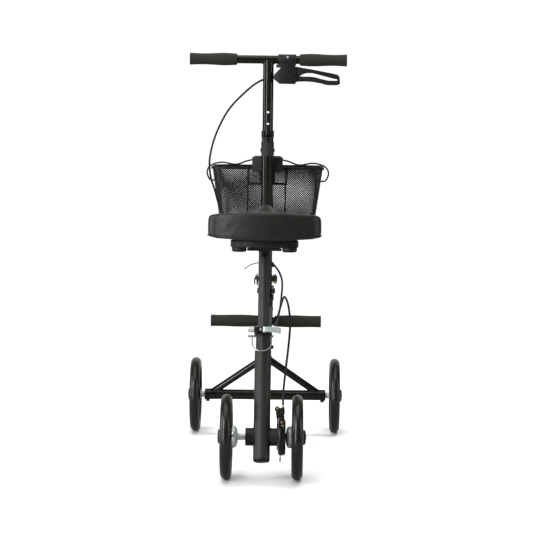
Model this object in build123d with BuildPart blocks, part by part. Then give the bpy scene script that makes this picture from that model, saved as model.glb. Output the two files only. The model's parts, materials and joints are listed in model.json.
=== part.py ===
from build123d import *
import os
from math import cos, radians, sin

# Knee scooter. Millimetres; X to the rider's right, Y forward, Z up.
# The origin is on the ground under the middle of the rear axle.

# ---------------------------------------------------------------- driving dimensions
wheel_radius = 101.6
tyre_width = 27.0
tyre_seat_radius = 80.0
tyre_seat_half = 11.0
rim_width = 24.0
hub_radius = 16.5
hub_half_width = 14.0
axle_radius = 6.0
bearing_radius = 14.0
bearing_width = 8.0
running_gap = 0.05

wheelbase = 650.0
rear_track_half = 85.0
front_track_half = 191.7

seat_lean = 20.0  # degrees forward from upright
seat_tube_setback = 12.0  # from the rear axle back to the tube's axis
seat_tube_radius = 20.0
seat_tube_bottom = -52.0  # distances along the seat tube, from level with the rear axle
seat_tube_top = 211.0
neck_radius = 17.5
neck_top = 264.3
clamp_bottom = 251.7
lock_pin_height = 248.4
lock_pin_radius = 2.75
seat_post_radius = 14.3
seat_post_bottom = 150.0
seat_post_top = 471.0
seat_travel_down = 110.0
seat_travel_up = 40.0

steer_rake = 8.0  # degrees back from upright
beam_radius = 18.0
beam_height = 245.8  # distances along the steering axis, from the front axle
head_radius = 19.0
head_bottom = 223.5
head_top = 270.0
cup_lip = 3.0
steerer_radius = 12.5
crown_radius = 15.9
crown_bottom = 96.0
foot_bar_height = 203.5
foot_bar_forward = 27.0
foot_bar_length = 304.0
fold_height = 295.8
column_radius = 15.9
column_top = 721.4
stem_radius = 14.3
stem_bottom = 560.0
stem_hole_pitch = 31.3
stem_hole_radius = 4.5
plunger_height = 694.1
bar_height = 929.4
bar_radius = 11.1
bar_length = 419.0
grip_length = 126.0

axle_tube_radius = 14.0
axle_tube_half = 167.0
strut_radius = 9.5

saddle_bottom = 566.0
saddle_top = 637.0
saddle_half_width = 138.0
saddle_rear = 50.0
saddle_nose = 320.0
nose_middle = 285.0
nose_rise = 7.0
pan_bottom = 550.0
rail_height = 544.5
rail_radius = 3.5

basket_floor = 552.0
basket_rim = 731.0
basket_middle = 733.0
basket_width = 306.0
basket_depth = 252.0
basket_taper = 50.0
basket_wall = 2.0

cable_radius = 2.4

# ---------------------------------------------------------------- planes
rear_axle_centre = Vector(0, 0, wheel_radius)
front_axle_centre = Vector(0, wheelbase, wheel_radius)
seat_plane = Plane(
    origin=rear_axle_centre - Vector(0, seat_tube_setback, 0),
    x_dir=(1, 0, 0),
    z_dir=(0, sin(radians(seat_lean)), cos(radians(seat_lean))),
)
steer_plane = Plane(
    origin=front_axle_centre,
    x_dir=(1, 0, 0),
    z_dir=(0, -sin(radians(steer_rake)), cos(radians(steer_rake))),
)


def on_seat_tube(height, back=0.0):
    """The point at a height along the seat tube, and a distance behind its axis."""
    return seat_plane.from_local_coords(Vector(0, -back, height))


def on_column(height, forward=0.0, x=0.0):
    """The point at a height along the steering axis, and a distance in front of it."""
    return steer_plane.from_local_coords(Vector(x, forward, height))


# ---------------------------------------------------------------- shared shapes
def bar_along(plane, start, end, radius, mode=Mode.ADD):
    """A round bar square to a plane, between two distances along its normal."""
    with BuildSketch(plane.offset(start)) as section:
        Circle(radius)
    extrude(section.sketch, amount=end - start, mode=mode)


def bar_across(centre, start, end, radius, mode=Mode.ADD):
    """A round bar along X through a point, between two values of X."""
    with BuildSketch(
        Plane(origin=(start, centre.Y, centre.Z), x_dir=(0, 1, 0), z_dir=(1, 0, 0))
    ) as section:
        Circle(radius)
    extrude(section.sketch, amount=end - start, mode=mode)


def bar_between(start, end, radius, mode=Mode.ADD):
    """A round bar between two points."""
    with BuildSketch(Plane(origin=start, z_dir=end - start)) as section:
        Circle(radius)
    extrude(section.sketch, amount=(end - start).length, mode=mode)


def block(plane, size_x, size_y, start, end, mode=Mode.ADD):
    """A box centred on a plane's normal, between two distances along it."""
    with BuildSketch(plane.offset(start)) as section:
        Rectangle(size_x, size_y)
    extrude(section.sketch, amount=end - start, mode=mode)


def turned(centre, points, mode=Mode.ADD):
    """A ring about an axle along X: points are (X from centre, radius)."""
    with BuildSketch(Plane(origin=centre, x_dir=(1, 0, 0), z_dir=(0, -1, 0))) as section:
        with BuildLine():
            Polyline(*points, close=True)
        make_face()
    revolve(section.sketch, axis=Axis(centre, (1, 0, 0)), mode=mode)


def swept(points, radius):
    """A round wire along a smooth curve through points."""
    with BuildLine() as path:
        Spline(*points)
    with BuildSketch(Plane(origin=path.line @ 0, z_dir=path.line % 0)) as section:
        Circle(radius)
    sweep(section.sketch, path=path.line)


def side_plane(x):
    """The upright plane across the scooter's width at one X; its local X is the scooter's Y."""
    return Plane(origin=(x, 0, 0), x_dir=(0, 1, 0), z_dir=(1, 0, 0))


# ---------------------------------------------------------------- wheels
def tyre(centre):
    """Solid tyre with a round crown."""
    side = tyre_width / 2
    shoulder = wheel_radius - side
    with BuildPart() as piece:
        with BuildSketch(Plane(origin=centre, x_dir=(1, 0, 0), z_dir=(0, -1, 0))):
            with BuildLine():
                Polyline(
                    (-side, shoulder),
                    (-tyre_seat_half, tyre_seat_radius),
                    (tyre_seat_half, tyre_seat_radius),
                    (side, shoulder),
                )
                ThreePointArc((-side, shoulder), (0, wheel_radius), (side, shoulder))
            make_face()
        revolve(axis=Axis(centre, (1, 0, 0)))
    return piece


def rim(centre):
    """Five-spoke rim: a bearing seat in each end of the hub, and a cap round the nut outside."""
    barrel_inner = tyre_seat_radius - 6.0
    spoke_middle = (hub_radius + barrel_inner) / 2
    half = rim_width / 2
    with BuildPart() as piece:
        turned(
            centre,
            [
                (-half, barrel_inner),
                (-half, tyre_seat_radius),
                (half, tyre_seat_radius),
                (half, barrel_inner),
            ],
        )
        bar_across(centre, centre.X - hub_half_width, centre.X + hub_half_width, hub_radius)
        with BuildSketch(Plane(origin=centre, x_dir=(0, 1, 0), z_dir=(1, 0, 0))):
            with PolarLocations(spoke_middle, 5, start_angle=18):
                Rectangle(barrel_inner - hub_radius + 4, 15)
        extrude(amount=6, both=True)
        with BuildSketch(Plane(origin=centre, x_dir=(0, 1, 0), z_dir=(1, 0, 0))):
            Circle(axle_radius + 1)
        extrude(amount=hub_half_width, both=True, mode=Mode.SUBTRACT)
        for side in (-1, 1):
            seat = sorted((side * (hub_half_width - bearing_width), side * hub_half_width))
            bar_across(
                centre,
                centre.X + seat[0],
                centre.X + seat[1],
                bearing_radius + running_gap,
                mode=Mode.SUBTRACT,
            )
        outward = 1 if centre.X > 0 else -1
        turned(
            centre,
            [
                (outward * hub_half_width, 12.5),
                (outward * hub_half_width, 18),
                (outward * (hub_half_width + 4), 17.2),
                (outward * (hub_half_width + 6.4), 14),
                (outward * (hub_half_width + 6.4), 11),
            ],
        )
    return piece


def bearings(centres):
    """Two ball bearings for each wheel, shown as plain rings."""
    with BuildPart() as piece:
        for centre in centres:
            for side in (-1, 1):
                outer = side * hub_half_width
                inner = side * (hub_half_width - bearing_width)
                turned(
                    centre,
                    [
                        (inner, axle_radius),
                        (inner, bearing_radius),
                        (outer, bearing_radius),
                        (outer, axle_radius),
                    ],
                )
    return piece


wheel_centres = {
    "rear_left": Vector(-rear_track_half, 0, wheel_radius),
    "rear_right": Vector(rear_track_half, 0, wheel_radius),
    "front_left": Vector(-front_track_half, wheelbase, wheel_radius),
    "front_right": Vector(front_track_half, wheelbase, wheel_radius),
}
pieces = {}
for wheel_name, wheel_centre in wheel_centres.items():
    pieces[wheel_name + "_tyre"] = tyre(wheel_centre)
    pieces[wheel_name + "_rim"] = rim(wheel_centre)
pieces["rear_wheel_bearings"] = bearings([wheel_centres["rear_left"], wheel_centres["rear_right"]])
pieces["front_wheel_bearings"] = bearings([wheel_centres["front_left"], wheel_centres["front_right"]])

# Dished zinc flanges on the inner faces of the rear hubs, and the brake drum inside the right one.
flange_inner = 57.0
flange_outer = rear_track_half - hub_half_width
flange_radius = 26.3
drum_inner = 39.8
drum_radius = 40.0


def hub_flange(side):
    """Dished flange on the inner face of a rear hub; side is -1 on the left."""
    with BuildPart() as piece:
        turned(
            rear_axle_centre,
            [
                (side * flange_inner, axle_radius + 1),
                (side * flange_inner, 15),
                (side * (flange_inner + 2.5), 21),
                (side * (flange_inner + 6.5), flange_radius - 1),
                (side * (flange_inner + 9), flange_radius),
                (side * (flange_inner + 11), flange_radius),
                (side * (flange_inner + 11), flange_radius - 2),
                (side * (flange_inner + 6), 20),
                (side * (flange_inner + 6), 16),
                (side * flange_outer, 16),
                (side * flange_outer, axle_radius + 1),
            ],
        )
    return piece


pieces["rear_left_hub_flange"] = hub_flange(-1)
pieces["rear_right_hub_flange"] = hub_flange(1)

with BuildPart() as brake_drum:
    turned(
        rear_axle_centre,
        [
            (drum_inner, axle_radius + 1),
            (drum_inner, 13),
            (flange_inner - 4, 13),
            (flange_inner - 4, drum_radius - 4),
            (drum_inner + 2, drum_radius - 4),
            (drum_inner + 2, drum_radius),
            (flange_inner - 1, drum_radius),
            (flange_inner, drum_radius - 1),
            (flange_inner, axle_radius + 1),
        ],
    )
pieces["brake_drum"] = brake_drum

# ---------------------------------------------------------------- main frame
housing_left = -39.4
housing_right = 35.8
housing_radius = 21.2
steer_back = steer_plane.y_dir * -1
beam_plane = Plane(origin=on_column(beam_height), x_dir=(1, 0, 0), z_dir=steer_back)
# The beam is square to the steering axis and ends on the seat tube's axis.
beam_end = 561.0 + seat_tube_setback
beam_boss = beam_plane.from_local_coords(Vector(0, 0, 379.5)) - Vector(0, 0, 5)
tube_bore = seat_tube_radius - 2.0
bush_radius = 15.9

neck_slot_length = 16.01  # open at the top, so the clamp can close the neck
neck_slot_width = 2.0
with BuildPart() as main_frame:
    bar_along(seat_plane, seat_tube_bottom, seat_tube_top, seat_tube_radius)
    bar_along(seat_plane, seat_tube_top, neck_top, neck_radius)
    bar_along(beam_plane, 0, beam_end, beam_radius)
    bar_along(steer_plane, head_bottom, head_top, head_radius)
    bar_across(rear_axle_centre, housing_left, housing_right, housing_radius)
    bar_across(beam_boss, 5, 24, 4.5)
    bar_along(seat_plane, 30, seat_tube_top - 3, tube_bore, mode=Mode.SUBTRACT)
    bar_along(seat_plane, seat_tube_top - 4, neck_top, bush_radius, mode=Mode.SUBTRACT)
    bar_along(seat_plane, seat_tube_bottom, -25, tube_bore, mode=Mode.SUBTRACT)
    bar_along(beam_plane, 24, beam_end - 12, beam_radius - 2, mode=Mode.SUBTRACT)
    bar_along(steer_plane, head_bottom, head_top, head_radius - 4, mode=Mode.SUBTRACT)
    bar_across(rear_axle_centre, housing_left, housing_right, axle_radius, mode=Mode.SUBTRACT)
    bar_across(
        on_seat_tube(lock_pin_height), -25, 25, lock_pin_radius + running_gap, mode=Mode.SUBTRACT
    )
    slot_middle = on_seat_tube(neck_top - neck_slot_length / 2, neck_radius)
    with BuildSketch(Plane(origin=slot_middle, x_dir=(1, 0, 0), z_dir=seat_plane.y_dir)):
        Rectangle(neck_slot_width, neck_slot_length)
    extrude(amount=neck_radius - 5, mode=Mode.SUBTRACT)
pieces["main_frame"] = main_frame

with BuildPart() as seat_tube_cap:
    with BuildSketch(seat_plane.offset(seat_tube_bottom - 6)):
        Circle(seat_tube_radius)
    extrude(amount=6)
    lowest = seat_tube_cap.faces().sort_by(Axis(rear_axle_centre, seat_plane.z_dir))[0]
    fillet(lowest.edges(), 5)
    bar_along(seat_plane, seat_tube_bottom, -34, tube_bore - 0.1)
    bar_along(seat_plane, seat_tube_bottom - 2, -34, tube_bore - 2.5, mode=Mode.SUBTRACT)
pieces["seat_tube_cap"] = seat_tube_cap

with BuildPart() as seat_tube_bushing:
    bar_along(seat_plane, seat_tube_top, neck_top, bush_radius)
    bar_along(seat_plane, neck_top, neck_top + 2, neck_radius)
    bar_along(
        seat_plane, seat_tube_top - 1, neck_top + 3, seat_post_radius + running_gap, mode=Mode.SUBTRACT
    )
    bar_across(
        on_seat_tube(lock_pin_height), -25, 25, lock_pin_radius + running_gap, mode=Mode.SUBTRACT
    )
pieces["seat_tube_bushing"] = seat_tube_bushing

with BuildPart() as headset_cups:
    for lip, inside in ((head_bottom - cup_lip, head_bottom + 8), (head_top + cup_lip, head_top - 8)):
        edge = head_bottom if lip < head_bottom else head_top
        bar_along(steer_plane, min(lip, edge), max(lip, edge), head_radius)
        bar_along(steer_plane, min(inside, edge), max(inside, edge), head_radius - 4)
    bar_along(
        steer_plane, head_bottom - 5, head_top + 5, steerer_radius + running_gap, mode=Mode.SUBTRACT
    )
pieces["headset_cups"] = headset_cups

# ---------------------------------------------------------------- rear axle
hub_end = rear_track_half + hub_half_width
with BuildPart() as rear_axle:
    bar_across(rear_axle_centre, -hub_end, hub_end, axle_radius)
pieces["rear_axle"] = rear_axle


def dome_nut(centre, side):
    """Dome nut on a wheel's outer face, facing side."""
    turned(
        centre,
        [
            (0, 0),
            (0, 9.5),
            (side * 1.5, 9.5),
            (side * 1.5, 8),
            (side * 5, 7.6),
            (side * 7.6, 5),
            (side * 8.8, 0),
        ],
    )


# A dome nut on each end of the axle, and the spacer tube between the housing and the left hub.
with BuildPart() as rear_axle_fittings:
    bar_across(rear_axle_centre, -flange_inner + 0.2, housing_left, 7.5)
    bar_across(rear_axle_centre, -flange_inner, housing_left, axle_radius, mode=Mode.SUBTRACT)
    for side in (-1, 1):
        dome_nut(Vector(side * hub_end, 0, wheel_radius), side)
pieces["rear_axle_fittings"] = rear_axle_fittings

# ---------------------------------------------------------------- band brake
plate_thickness = 2.7
plate_outer = housing_right + plate_thickness
arm_pivot = Vector(0, -6, wheel_radius + 48.4)
arm_end = Vector(0, -36, wheel_radius + 35.4)
arm_x = (43.5, 50.0)
yoke_back = -38.0

with BuildPart() as brake_backing_plate:
    bar_across(rear_axle_centre, housing_right, housing_right + plate_thickness, 31)
    with BuildSketch(side_plane(housing_right)):
        with BuildLine():
            Polyline(
                (8, 120), (0, 156), (-12, 156), (-33, 172), (-38, 172), (-38, 158), (-22, 120), close=True
            )
        make_face()
    extrude(amount=plate_thickness)
    with BuildSketch(Plane(origin=(0, yoke_back, 0), x_dir=(1, 0, 0), z_dir=(0, -1, 0))):
        with BuildLine():
            Polyline(
                (housing_right, 148), (housing_right + 3, 148), (housing_right + 4, 153), (50, 153),
                (54.5, 165), (54.5, 174), (46.5, 174), (46, 167), (42.5, 167), (41.5, 174),
                (33.5, 174), (33, 166), close=True,
            )
        make_face()
    extrude(amount=-5)
    for centre, radius in ((rear_axle_centre, axle_radius), (arm_pivot, 3)):
        bar_across(centre, housing_right, plate_outer, radius, mode=Mode.SUBTRACT)
pieces["brake_backing_plate"] = brake_backing_plate

band_bore = 40.6
band_edge = 41.6
band_outer = 43.3
band_left = 41.0
band_right = 56.5
with BuildPart() as brake_band:
    turned(
        rear_axle_centre,
        [
            (band_left, band_bore),
            (band_left, band_edge),
            (band_left + 2.5, band_outer),
            (band_right - 2.5, band_outer),
            (band_right, band_edge),
            (band_right, band_bore),
        ],
    )
    with BuildSketch(side_plane(plate_outer)):
        with BuildLine():
            Polyline((16, 128), (24, 134), (20, 146), (9, 146), (9, 138), close=True)
        make_face()
    extrude(amount=15)
    bar_across(rear_axle_centre, plate_outer, band_right + 1, band_bore, mode=Mode.SUBTRACT)
pieces["brake_band"] = brake_band

with BuildPart() as brake_arm:
    bar_across(arm_pivot, arm_x[0], arm_x[1], 5)
    bar_across(arm_end, arm_x[0], arm_x[1], 5)
    with BuildSketch(side_plane(arm_x[0])):
        with BuildLine():
            Polyline(
                (arm_pivot.Y, arm_pivot.Z - 2.4), (arm_pivot.Y, arm_pivot.Z + 2.4),
                (arm_end.Y, arm_end.Z + 4), (arm_end.Y, arm_end.Z - 2.4), close=True,
            )
        make_face()
    extrude(amount=arm_x[1] - arm_x[0])
    bar_across(arm_pivot, arm_x[0], arm_x[1], 3 + running_gap, mode=Mode.SUBTRACT)
pieces["brake_arm"] = brake_arm

with BuildPart() as brake_pinch_bolts:
    for height in (-4.2, 4.2):
        with BuildSketch(
            Plane(origin=(46.8, arm_end.Y - 5, arm_end.Z - 2 + height), x_dir=(1, 0, 0), z_dir=(0, -1, 0))
        ):
            Circle(3.6)
        extrude(amount=5)
    fillet(brake_pinch_bolts.faces().filter_by(Axis.Y).group_by(Axis.Y)[0].edges(), 2)
    with BuildSketch(Plane(origin=(46.8, arm_end.Y - 5, arm_end.Z - 2), x_dir=(1, 0, 0), z_dir=(0, -1, 0))):
        Rectangle(4, 9)
    extrude(amount=2)
    bar_across(arm_end, 40, 54, 5, mode=Mode.SUBTRACT)
pieces["brake_pinch_bolts"] = brake_pinch_bolts

with BuildPart() as brake_cable_end:
    swept(
        [(45, arm_end.Y - 2, arm_end.Z - 6), (45, -47, 108), (45, -46, 80), (44.6, -38, 62)],
        0.9,
    )
    bar_between(Vector(44.6, -38, 62), Vector(44.6, -35, 51), 1.8)
pieces["brake_cable_end"] = brake_cable_end

stop_point = Vector(50, yoke_back + 2.5, 174)
# The cable adjuster on the bracket and the pin that the brake arm turns on.
with BuildPart() as brake_fittings:
    bar_along(Plane(origin=stop_point), 0, 4, 4)
    bar_along(Plane(origin=stop_point), 4, 9, 3)
    bar_across(arm_pivot, housing_right, arm_x[1] + 1, 3)
    bar_across(arm_pivot, arm_x[1] + 1, arm_x[1] + 4, 5)
pieces["brake_fittings"] = brake_fittings

# ---------------------------------------------------------------- seat tube clamp and lock pin
clamp_height = neck_top - clamp_bottom
clamp_middle = (neck_top + clamp_bottom) / 2
skewer_back = 28.5
skewer_centre = on_seat_tube(clamp_middle, skewer_back)
skewer_radius = 3.0
cam_x = 4.0
ear_left = -22.0
ear_right = -2.6
ear_gap = 5.0

with BuildPart() as seat_clamp_collar:
    bar_along(seat_plane, clamp_bottom, neck_top, 21.5)
    with BuildSketch(seat_plane.offset(clamp_bottom)):
        with Locations(((ear_left + ear_right) / 2, -23)):
            Rectangle(ear_right - ear_left, 24)
    extrude(amount=clamp_height)
    bar_along(seat_plane, clamp_bottom, neck_top, neck_radius, mode=Mode.SUBTRACT)
    with BuildSketch(seat_plane.offset(clamp_bottom)):
        with Locations((-7, -26)):
            Rectangle(ear_gap, 30)
    extrude(amount=clamp_height, mode=Mode.SUBTRACT)
    bar_across(skewer_centre, -24, 0, skewer_radius, mode=Mode.SUBTRACT)
pieces["seat_clamp_collar"] = seat_clamp_collar

with BuildPart() as seat_clamp_skewer:
    bar_across(skewer_centre, -37.5, -3, skewer_radius)
    bar_across(skewer_centre, -36, ear_left, 6.6)
pieces["seat_clamp_skewer"] = seat_clamp_skewer

# The cam lever turns on an axis along the seat tube at the end of the skewer.
cam_radius = 6.5
with BuildPart() as seat_clamp_lever:
    lever_origin = on_seat_tube(clamp_bottom, skewer_back)
    with BuildSketch(Plane(origin=lever_origin, x_dir=(1, 0, 0), z_dir=seat_plane.z_dir)):
        with Locations((cam_x, 0)):
            Circle(cam_radius)
        with BuildLine():
            Polyline(
                (cam_x, -cam_radius), (24, -cam_radius), (38, -1), (43, 9),
                (39, 12), (32, 3.5), (22, -0.5), (cam_x, 0), close=True,
            )
        make_face()
    extrude(amount=clamp_height)
pieces["seat_clamp_lever"] = seat_clamp_lever

# The spring wire hangs from both ends of the lock pin and passes behind the seat tube.
pin_centre = on_seat_tube(lock_pin_height)
wire_radius = 1.25
wire_drop = Vector(0, -0.76, -0.65)
with BuildPart() as seat_lock_pin:
    left_eye = Vector(-26.5, pin_centre.Y, pin_centre.Z)
    right_eye = Vector(20, pin_centre.Y, pin_centre.Z)
    swept(
        [
            left_eye,
            left_eye + wire_drop * 22,
            left_eye + wire_drop * 37 + Vector(4, 0, 0),
            Vector(-4, pin_centre.Y, pin_centre.Z) + wire_drop * 48,
            right_eye + wire_drop * 35 + Vector(-3, 0, 0),
            right_eye + wire_drop * 18,
            right_eye,
        ],
        wire_radius,
    )
    bar_across(pin_centre, -37, 25, lock_pin_radius)
pieces["seat_lock_pin"] = seat_lock_pin

# ---------------------------------------------------------------- seat
slot_top = lock_pin_height + seat_travel_down + 3.2
post_bolt_plane = Plane(origin=on_seat_tube(449.5), x_dir=(1, 0, 0), z_dir=seat_plane.y_dir * -1)
slot_bottom = lock_pin_height - seat_travel_up - 3.2
with BuildPart() as seat_post:
    bar_along(seat_plane, seat_post_bottom, seat_post_top, seat_post_radius)
    bar_along(seat_plane, seat_post_bottom, seat_post_top - 4, seat_post_radius - 2, mode=Mode.SUBTRACT)
    with BuildSketch(
        Plane(
            origin=on_seat_tube((slot_top + slot_bottom) / 2),
            x_dir=seat_plane.z_dir,
            z_dir=(1, 0, 0),
        )
    ):
        SlotOverall(slot_top - slot_bottom, 6.4)
    extrude(amount=20, both=True, mode=Mode.SUBTRACT)
    bar_along(post_bolt_plane, 0, 20, 3, mode=Mode.SUBTRACT)
pieces["seat_post"] = seat_post

with BuildPart() as seat_post_bolt:
    bar_along(post_bolt_plane, 10, 14.4, 3)
    bar_along(post_bolt_plane, 14.4, 18, 5)
    bar_along(post_bolt_plane, 16, 18, 2.4, mode=Mode.SUBTRACT)
    bar_along(seat_plane, 436, 466, seat_post_radius - 2, mode=Mode.SUBTRACT)
pieces["seat_post_bolt"] = seat_post_bolt

clamp_y = on_seat_tube(seat_post_top).Y
rail_x = 22.0
with BuildPart() as seat_rails:
    for side in (-1, 1):
        swept(
            [
                (side * 40, 96, rail_height),
                (side * 30, 110, rail_height),
                (side * rail_x, 134, rail_height),
                (side * rail_x, 160, rail_height),
                (side * rail_x, 190, rail_height),
                (side * 18, 240, rail_height),
                (side * 10, 285, rail_height),
            ],
            rail_radius,
        )
    block(Plane(origin=(0, 94, rail_height)), 80, 6, -3, 3)
pieces["seat_rails"] = seat_rails

with BuildPart() as seat_rail_clamp:
    block(Plane(origin=(0, clamp_y, rail_height)), 60, 30, -6, 5.5)
    bar_along(seat_plane, seat_post_top - 30, seat_post_top, seat_post_radius, mode=Mode.SUBTRACT)
    for side in (-1, 1):
        with BuildSketch(Plane(origin=(side * rail_x, 100, rail_height), x_dir=(1, 0, 0), z_dir=(0, 1, 0))):
            Circle(rail_radius + 0.6)
        extrude(amount=150, mode=Mode.SUBTRACT)
pieces["seat_rail_clamp"] = seat_rail_clamp


def saddle_outline(inset, rear_inset):
    """Closed plan outline of the saddle: wide and gently curved behind, narrow at the nose."""
    half = saddle_half_width - inset
    rear = saddle_rear + rear_inset
    right = [
        (half - 4, rear + 18),
        (half, rear + 45),
        (half - 12, rear + 90),
        (half * 0.58, rear + 155),
        (36 - inset * 0.2, rear + 215),
        (24 - inset * 0.1, rear + 255 - inset * 0.9),
    ]
    nose = (0, saddle_nose - inset * 0.35)
    with BuildLine() as outline:
        ThreePointArc((-right[0][0], right[0][1]), (0, rear), right[0])
        Spline(*right, nose, *[(-x, y) for x, y in reversed(right)])
    return outline


with BuildPart() as seat_base:
    with BuildSketch(Plane.XY.offset(pan_bottom)):
        add(saddle_outline(55, 18).line)
        make_face()
    extrude(amount=saddle_bottom - pan_bottom)
pieces["seat_base"] = seat_base

with BuildPart() as seat_elastomers:
    for side in (-1, 1):
        with BuildSketch(Plane(origin=(side * 61, 94, pan_bottom - 11))):
            Circle(18.5)
        extrude(amount=11)
    fillet(seat_elastomers.faces().group_by(Axis.Z)[0].edges(), 5)
    block(Plane(origin=(0, 94, rail_height)), 90, 12, -4, 4, mode=Mode.SUBTRACT)
pieces["seat_elastomers"] = seat_elastomers

with BuildPart() as seat_cushion:
    with BuildSketch(Plane.XY.offset(saddle_bottom)):
        add(saddle_outline(0, 0).line)
        make_face()
    extrude(amount=saddle_top - saddle_bottom - 9)
    with BuildSketch(Plane.XY.offset(saddle_bottom)):
        add(saddle_outline(7, 7).line)
        make_face()
    extrude(amount=saddle_top - saddle_bottom)
    with BuildSketch(Plane.XY.offset(saddle_top)):
        with Locations((0, nose_middle)):
            Ellipse(22, 26)
    with BuildSketch(Plane.XY.offset(saddle_top + nose_rise)):
        with Locations((0, nose_middle)):
            Ellipse(12, 15)
    loft()
pieces["seat_cushion"] = seat_cushion

# ---------------------------------------------------------------- fork
strut_top = on_column(crown_bottom + 12)
with BuildPart() as fork_frame:
    bar_across(front_axle_centre, -axle_tube_half, axle_tube_half, axle_tube_radius)
    for side in (-1, 1):
        near, far = sorted((side * (axle_tube_half - 14), side * axle_tube_half))
        bar_across(front_axle_centre, near, far, axle_tube_radius + 1.5)
        bar_between(strut_top, on_column(2, x=side * 152), strut_radius)
    bar_along(steer_plane, crown_bottom, head_bottom - cup_lip - 0.2, crown_radius)
    bar_along(steer_plane, crown_bottom, fold_height - 22, steerer_radius)
    bar_across(front_axle_centre, -100, 100, axle_tube_radius - 2, mode=Mode.SUBTRACT)
    bar_across(front_axle_centre, -axle_tube_half, axle_tube_half, axle_radius, mode=Mode.SUBTRACT)
    for side in (-1, 1):
        with BuildSketch(Plane(origin=(side * 158, wheelbase, wheel_radius))):
            Circle(3)
        extrude(amount=-20, mode=Mode.SUBTRACT)
pieces["fork_frame"] = fork_frame

# Set screws under the ends of the axle tube, and the bolt that the column folds on.
fold_centre = on_column(fold_height)
ear_inner = 17.0
ear_outer = 21.0
with BuildPart() as fork_bolts:
    for side in (-1, 1):
        with BuildSketch(Plane(origin=(side * 158, wheelbase, wheel_radius - axle_radius))):
            Circle(3)
        extrude(amount=-12)
        with BuildSketch(Plane(origin=(side * 158, wheelbase, wheel_radius - axle_tube_radius - 2))):
            Circle(5)
        extrude(amount=-3.5)
        bar_across(fold_centre, *sorted((side * ear_outer, side * 24.5)), 7)
    bar_across(fold_centre, -ear_outer, ear_outer, 5)
pieces["fork_bolts"] = fork_bolts

front_hub_inner = front_track_half - hub_half_width
front_hub_outer = front_track_half + hub_half_width
with BuildPart() as front_axle_bolts:
    for side in (-1, 1):
        bar_across(front_axle_centre, *sorted((side * 110, side * front_hub_outer)), axle_radius)
        bar_across(front_axle_centre, *sorted((side * axle_tube_half, side * (front_hub_inner - 0.2))), 8.5)
        dome_nut(Vector(side * front_hub_outer, wheelbase, wheel_radius), side)
pieces["front_axle_bolts"] = front_axle_bolts

foot_bar_centre = on_column(foot_bar_height, foot_bar_forward)
with BuildPart() as foot_peg_bar:
    bar_across(foot_bar_centre, -foot_bar_length / 2 + 2, foot_bar_length / 2 - 2, bar_radius)
    with BuildSketch(Plane(origin=foot_bar_centre, x_dir=(1, 0, 0), z_dir=steer_back)):
        Rectangle(36, 16)
    extrude(amount=foot_bar_forward)
    bar_along(steer_plane, foot_bar_height - 20, foot_bar_height + 20, crown_radius, mode=Mode.SUBTRACT)
pieces["foot_peg_bar"] = foot_peg_bar


def foam_grips(centre, inner, outer, inside_radius, profile):
    """A pair of foam grips; profile is radii at even steps from the inner end to the outer end."""
    steps = len(profile) - 1
    with BuildPart() as piece:
        for side in (-1, 1):
            crown = [
                (side * (inner + (outer - inner) * n / steps), radius)
                for n, radius in enumerate(profile)
            ]
            with BuildSketch(Plane(origin=centre, x_dir=(1, 0, 0), z_dir=(0, -1, 0))) as section:
                with BuildLine():
                    Spline(*crown)
                    Polyline(
                        crown[-1],
                        (side * outer, inside_radius),
                        (side * inner, inside_radius),
                        crown[0],
                    )
                make_face()
            revolve(section.sketch, axis=Axis(centre, (1, 0, 0)))
        bar_ends = outer - 2
        for side in (-1, 1):
            bar_across(centre, *sorted((side * bar_ends, side * outer)), inside_radius + 1)
    return piece


pieces["foot_grips"] = foam_grips(
    foot_bar_centre, 24, foot_bar_length / 2, bar_radius, [14.5, 15.8, 16.5, 16.5, 16, 15.5, 16.2]
)

# ---------------------------------------------------------------- fold hinge
with BuildPart() as fold_bracket:
    block(steer_plane, 2 * ear_outer, 38, fold_height - 22, fold_height - 16.6)
    for side in (-1, 1):
        near, far = sorted((side * ear_inner, side * ear_outer))
        bar_across(fold_centre, near, far, 15)
        ear_origin = on_column(fold_height, x=near)
        with BuildSketch(Plane(origin=ear_origin, x_dir=steer_plane.y_dir, z_dir=(1, 0, 0))):
            with BuildLine():
                Polyline((-19, -21), (-14.5, 4), (14.5, 4), (19, -21), close=True)
            make_face()
        extrude(amount=ear_outer - ear_inner)
    bar_across(fold_centre, -ear_outer, ear_outer, 5, mode=Mode.SUBTRACT)
pieces["fold_bracket"] = fold_bracket

# ---------------------------------------------------------------- column
with BuildPart() as column_tube:
    bar_across(fold_centre, -16.6, 16.6, column_radius)
    bar_along(steer_plane, fold_height, column_top, column_radius)
    bar_along(steer_plane, fold_height + 30, column_top, stem_radius + running_gap, mode=Mode.SUBTRACT)
    bar_across(fold_centre, -20, 20, 5 + running_gap, mode=Mode.SUBTRACT)
    with BuildSketch(Plane(origin=on_column(plunger_height), x_dir=(1, 0, 0), z_dir=steer_plane.y_dir)):
        Circle(4 + running_gap)
    extrude(amount=20, mode=Mode.SUBTRACT)
pieces["column_tube"] = column_tube

with BuildPart() as column_lip:
    bar_along(steer_plane, column_top - 1, column_top + 16, 17)
    bar_along(steer_plane, column_top - 1, column_top, column_radius, mode=Mode.SUBTRACT)
    bar_along(steer_plane, column_top - 1, column_top + 16, stem_radius + running_gap, mode=Mode.SUBTRACT)
    with BuildSketch(Plane(origin=on_column(column_top + 9), x_dir=(1, 0, 0), z_dir=steer_back)):
        Rectangle(20, 16)
    extrude(amount=30, mode=Mode.SUBTRACT)
pieces["column_lip"] = column_lip

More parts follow.
